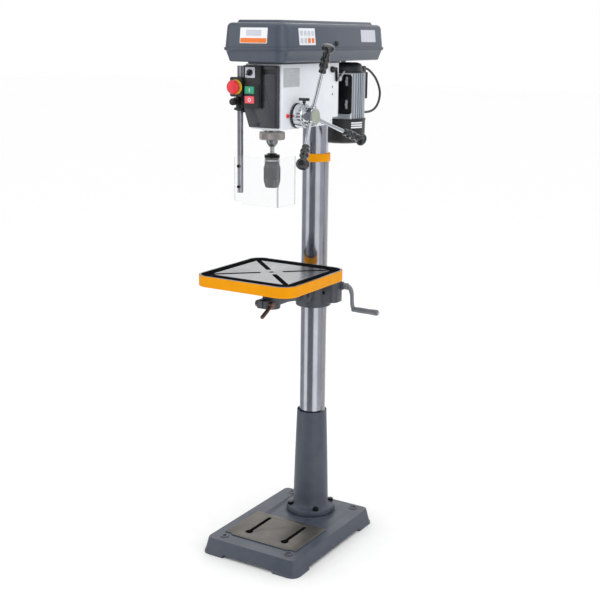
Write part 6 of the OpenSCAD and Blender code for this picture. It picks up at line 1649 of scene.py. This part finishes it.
@dataclass
class Motor:
    """The finned motor with its plate, bell, cowl, terminal box, lead and pulley belts."""

    low: float = 1326.0
    tall: float = 140.0
    fin_r: float = 70.0
    plate_y: float = 86.0
    bolt_x: float = 58.0
    lead_x: float = 20.0
    lead: tuple[Pair, ...] = ((272, 1476), (284, 1476), (298, 1472), (314, 1465), (330, 1456), (345, 1446),
                              (358, 1434), (368, 1422), (376, 1409), (380, 1395), (378, 1381), (372, 1368),
                              (362, 1357), (348, 1348), (332, 1342), (314, 1339), (296, 1338), (274, 1338),
                              (252, 1338))

    def build(self) -> None:
        """Builds every piece of the motor; the lead comes first."""
        self.motor_lead()
        self.body()
        self.ends()
        self.plate()
        self.terminals()
        self.belts()
        self.tensioner()

    def motor_lead(self) -> None:
        """Builds the lead from the terminal box to the low gland."""
        x = self.lead_x
        lead = tube([(x, y, z) for y, z in self.lead], 3.8, rounds=6)
        done(lead, "motor_lead_jacket", Finishes.LEAD_RUBBER, "motor", "motor_lead", smooth=70)

    def body(self) -> None:
        """Builds the extruded fins, the foot blocks and the low gland."""
        fins, r, top = 44, self.fin_r, self.low + self.tall
        ring = []
        for i in range(fins):
            for share, radius in ((0.2, r - 6), (0.24, r - 0.3), (0.3, r), (0.47, r), (0.53, r - 0.3),
                                  (0.57, r - 6)):
                a = math.tau / fins * (i + share)
                ring.append((radius * math.cos(a), MOTOR_Y + radius * math.sin(a)))
        body = prism(ring, Axis.Z, self.low, top)
        adds = [block((-68, self.plate_y + 6.3, self.low + 2), (68, self.plate_y + 17.3, top - 2), 1.0),
                block((-48, self.plate_y + 6.3, self.low + 2), (48, MOTOR_Y - 40, top - 2))]
        body = combine(body, adds, Join.ADD)
        bores = [pin(Axis.Z, (0, MOTOR_Y, 0), 36, self.low - 1, top + 1, 0, 64)]
        bores += [pin(Axis.Y, (x, 0, z), 4.25, self.plate_y + 5, self.plate_y + 20, 0, 24)
                  for x in (-self.bolt_x, self.bolt_x) for z in (self.low + 51, top - 23)]
        body = combine(body, bores)
        coat(body, Finishes.CAST_ALLOY)
        gland = lathe([(0, 221), (8, 221), (8, 243), (7.4, 244), (7.4, 246), (6.2, 250), (5, 252), (0, 252)],
                      Axis.Y, (self.lead_x, 0, 1338), 32)
        coat(gland, Finishes.BLACK_ABS)
        done(gather([body, gland]), "finned_motor_body", Finishes.CAST_ALLOY, "motor", "motor_body",
             smooth=20)

    def ends(self) -> None:
        """Builds the top bell, the fan cowl with its slots and the lower shield."""
        y, z0, z1 = MOTOR_Y, self.low, self.low + self.tall
        bell = lathe([(50, 0.2), (65, 0.2), (65, 4), (61, 5), (60.4, 12), (60, 18), (58.6, 23), (56, 27),
                      (51, 30.2), (44, 32), (8.4, 32), (8.4, 19), (50, 19), (50, 0.2)], Axis.Z, (0, y, z1),
                     96)
        lugs = [place(block((-4, 60, 4), (4, 66, 9), 1.0), (0, y, z1), turned("Z", 45 + 90 * i))
                for i in range(4)]
        cowl = lathe([(0, 0), (57, 0), (64, 2.4), (69, 6), (71.4, 11), (72, 16), (73, 69), (74, 70),
                      (74, 76.8), (62, 76.8), (62, 69), (70, 67), (69.5, 17), (67, 9), (56, 3), (0, 3)],
                     Axis.Z, (0, y, z0 - 77), 128)
        slots = [place(block((22, -1.6, -2), (50, 1.6, 5)), (0, y, z0 - 77), turned("Z", 15 * i + 7.5))
                 for i in range(24)]
        cowl = combine(cowl, [gather(slots)])
        shield = lathe([(8.05, -6.8), (61.6, -6.8), (61.6, -0.2), (8.05, -0.2), (8.05, -6.8)], Axis.Z,
                       (0, y, z0), 64)
        black = gather([bell] + lugs + [cowl, shield])
        coat(black, Finishes.BLACK_ABS)
        arc = [math.radians(-38 + 3 * i) for i in range(13)]
        rim = [(r * math.cos(a), y + r * math.sin(a)) for r, order in ((73.3, arc), (71.6, arc[::-1]))
               for a in order]
        strips = gather([prism(rim, Axis.Z, z, z + 4.6) for z in (z0 - 28.4, z0 - 21.4, z0 - 14.4)])
        coat(strips, Finishes.WHITE_LABEL)
        done(gather([black, strips]), "motor_bell_and_cowl", Finishes.BLACK_ABS, "motor", "motor_ends")

    def plate(self) -> None:
        """Builds the motor's plate with its slots and bright bolts."""
        y0, z0, z1 = self.plate_y, self.low + 17, self.low + self.tall - 3
        plate = soften(prism(round_corners(-74, 74, z0, z1, 8, 6), Axis.Y, y0, y0 + 6), 0.8, 2, 40)
        cuts = [pin(Axis.Y, (x, 0, BAR_Z), 8.05, y0 - 1, y0 + 7, 0, 32) for x in (-BAR_X, BAR_X)]
        places = [(x, z) for x in (-self.bolt_x, self.bolt_x) for z in (z0 + 30, z1 - 20)]
        cuts += [prism(stadium((x, z - 10), (x, z + 10), 4.5, 4.49), Axis.Y, y0 - 1, y0 + 7)
                 for x, z in places]
        plate = combine(plate, cuts)
        coat(plate, Finishes.BLACK_OXIDE)
        paint(plate, Finishes.GEAR_STEEL, lambda c, n: abs(n.y) < 0.3 and abs(abs(c.x) - self.bolt_x) < 4.8
              and z0 + 14 < c.z < z1 - 4)
        profile = [(0, y0 - 3.4), (3.6, y0 - 3.4), (4.3, y0 - 2.8), (4.3, y0 + 14), (0, y0 + 14)]
        bolts = gather([lathe(profile, Axis.Y, (x, 0, z), 32) for x, z in places])
        coat(bolts, Finishes.GEAR_STEEL)
        done(gather([plate, bolts]), "motor_slide_plate", Finishes.BLACK_OXIDE, "motor", "motor_plate")

    def terminals(self) -> None:
        """Builds the terminal box with its lid, screws and gland."""
        z0, z1 = self.low + 58, self.low + self.tall
        body = soften(prism(round_corners(-40, 36, 235.3, 256, 4, 4), Axis.Z, z0, z1), 0.8)
        lid = block((-41, 255.8, z0 - 0.8), (37, 262, z1 + 0.6), 2.0, 3)
        screws = [lathe([(0, 261), (3, 261), (3, 262.6), (2, 262.9), (0, 262.9)], Axis.Y, (x, 0, z), 20)
                  for x in (-35, 31) for z in (z0 + 6, z1 - 6)]
        x = self.lead_x
        riser = block((x - 12, 238.3, z1 - 1), (x + 12, 258, 1486), 1.5, 3)
        gland = lathe([(0, 257), (8.5, 257), (8.5, 263), (7.6, 264), (6.5, 264), (6.5, 269), (5.6, 271),
                       (4.4, 272), (0, 272)], Axis.Y, (x, 0, 1476), 24)
        done(gather([body, lid, riser, gland] + screws), "motor_terminal_box", Finishes.BLACK_ABS, "motor",
             "terminal_box")

    def belts(self) -> None:
        """Builds the two V-belts, their inner side narrower than the outer."""
        made = [self.belt(SPINDLE_Y, 64, -55, 34, 0), self.belt(-55, 64, MOTOR_Y, 34, 3)]
        done(gather(made), "v_belt_pair", Finishes.RUBBER, "stand", "v_belts", smooth=30)

    def belt(self, y0: float, r0: float, y1: float, r1: float, step: int) -> Piece:
        """Builds one belt round two pulleys.

        Args:
            y0: The first pulley's axis.
            r0: Its step's radius.
            y1: The second pulley's axis.
            r1: Its step's radius.
            step: The step's number, from below.

        Returns:
            The belt.
        """
        low = 1514 + 16 * step + 3.7
        lean = math.degrees(math.asin((r0 - r1) / (y1 - y0)))
        paths = []
        for grow in (-0.6, -7.6):
            ring = []
            for y, r, start, end in ((y1, r1, lean, 180 - lean), (y0, r0, 180 - lean, 360 + lean)):
                for i in range(33):
                    a = math.radians(start + (end - start) * i / 32)
                    ring.append(((r + grow) * math.cos(a), y + (r + grow) * math.sin(a)))
            paths.append(ring)
        belt = combine(prism(paths[0], Axis.Z, low, low + 8.6), [prism(paths[1], Axis.Z, low - 2, low + 12)])
        inner = {(round(x, 1), round(y, 1)) for x, y in paths[1]}
        pick(belt, Pick.POINTS, lambda c, n: (round(c.x, 1), round(c.y, 1)) in inner)
        bpy.ops.transform.resize(value=(1, 1, 0.6), center_override=Vector((0, 0, low + 4.3)) * MM)
        outward()
        return belt

    def tensioner(self) -> None:
        """Builds the belt tension lever and the bar lock on the head's right side."""
        x = 62.3
        lever = gather([pin(Axis.X, TENSION_LEVER, 6, 26, x + 2, 0.5, 32),
                        pin(Axis.X, TENSION_LEVER, 9, x, x + 7, 1.2),
                        soften(prism(stadium(TENSION_LEVER[1:], (7, 1483), 4, 3.99), Axis.X, x + 1, x + 6),
                               0.8, 2, 50), soften(prism(stadium((7, 1483), (10.1, 1449), 4, 3.99), Axis.X,
                                                         x + 1, x + 6), 0.8, 2, 50)])
        done(lever, "belt_tension_lever", Finishes.BLACK_OXIDE, "tension", "tension_lever")
        handle = lathe([(0, 0), (2.6, 0), (2.8, 20), (3.2, 26), (3.2, 32), (2.2, 34), (0, 34)], steps=24)
        handle = place(handle, (x + 5, *BAR_LOCK[1:]), turned("X", -52))
        lock = gather([pin(Axis.X, BAR_LOCK, 4, 46.1, x + 3, 0.4, 24),
                       pin(Axis.X, BAR_LOCK, 7, x, x + 9, 1.0), handle])
        done(lock, "slide_bar_lock", Finishes.GEAR_STEEL, "bar_clamp", "bar_lock")


NODES: dict[Finishes, tuple[str, ...]] = {
    Finishes.CAST_COAT: ("base_plate", "column_foot"),
    Finishes.BLACK_OXIDE: ("foot_bolts", "column_lock", "lift_gear", "table_lock", "head_fittings",
                           "chuck_body", "depth_ring", "return_spring", "idler_arm", "motor_plate",
                           "tension_lever"),
    Finishes.COLUMN_STEEL: ("column",),
    Finishes.ORANGE_COAT: ("rack_ring", "work_table"),
    Finishes.GEAR_STEEL: ("lift_rack", "jaw_1", "jaw_2", "jaw_3", "feed_pinion", "motor_rotor", "bar_lock"),
    Finishes.DARK_COAT: ("table_bracket", "table_arm"),
    Finishes.CAST_CRANK: ("crank", "crank_grip"),
    Finishes.WHITE_COAT: ("head_casting",),
    Finishes.COVER_ABS: ("front_cover",),
    Finishes.BLACK_ABS: ("control_box", "selector_knob", "guard_bracket", "guard_swivel", "guard_knob",
                         "lid_knob", "motor_ends", "terminal_box"),
    Finishes.LABEL: ("plates",),
    Finishes.GREEN_ABS: ("start_button",),
    Finishes.RED_ABS: ("stop_button", "estop_button", "depth_pointer"),
    Finishes.ROD_ALLOY: ("guard_rod",),
    Finishes.CLEAR: ("chuck_guard",),
    Finishes.TURNED_STEEL: ("quill", "spindle", "slide_bars"),
    Finishes.KNURLED: ("quill_cap",),
    Finishes.BROWNED: ("chuck_sleeve",),
    Finishes.CHROME: ("feed_hub",),
    Finishes.BAKELITE: ("feed_grips", "depth_lock"),
    Finishes.CAST_ALLOY: ("spindle_pulley", "idler_pulley", "motor_body", "motor_pulley"),
    Finishes.RUBBER: ("v_belts",),
    Finishes.GREY_COAT: ("belt_tray", "belt_lid"),
    Finishes.LEAD_RUBBER: ("motor_lead",),
}
NODE_FINISH = {name: finish for finish, names in NODES.items() for name in names}


def dress_nodes() -> None:
    """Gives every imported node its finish."""
    for name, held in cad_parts.items():
        held.data.materials.clear()
        coat(held, NODE_FINISH[name])


def main() -> None:
    """Builds the stage and every sub-assembly."""
    logging.basicConfig(level=logging.INFO, format="%(message)s")
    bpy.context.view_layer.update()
    Stage().build()
    dress_nodes()
    for assembly in (Motor(), Base(), Column(), BeltCover(), Head(), Guard(), WorkTable(), Carrier(),
                     Spindle(), Feed()):
        LOG.info("building %s", type(assembly).__name__)
        assembly.build()


if __name__ == "__main__":
    main()
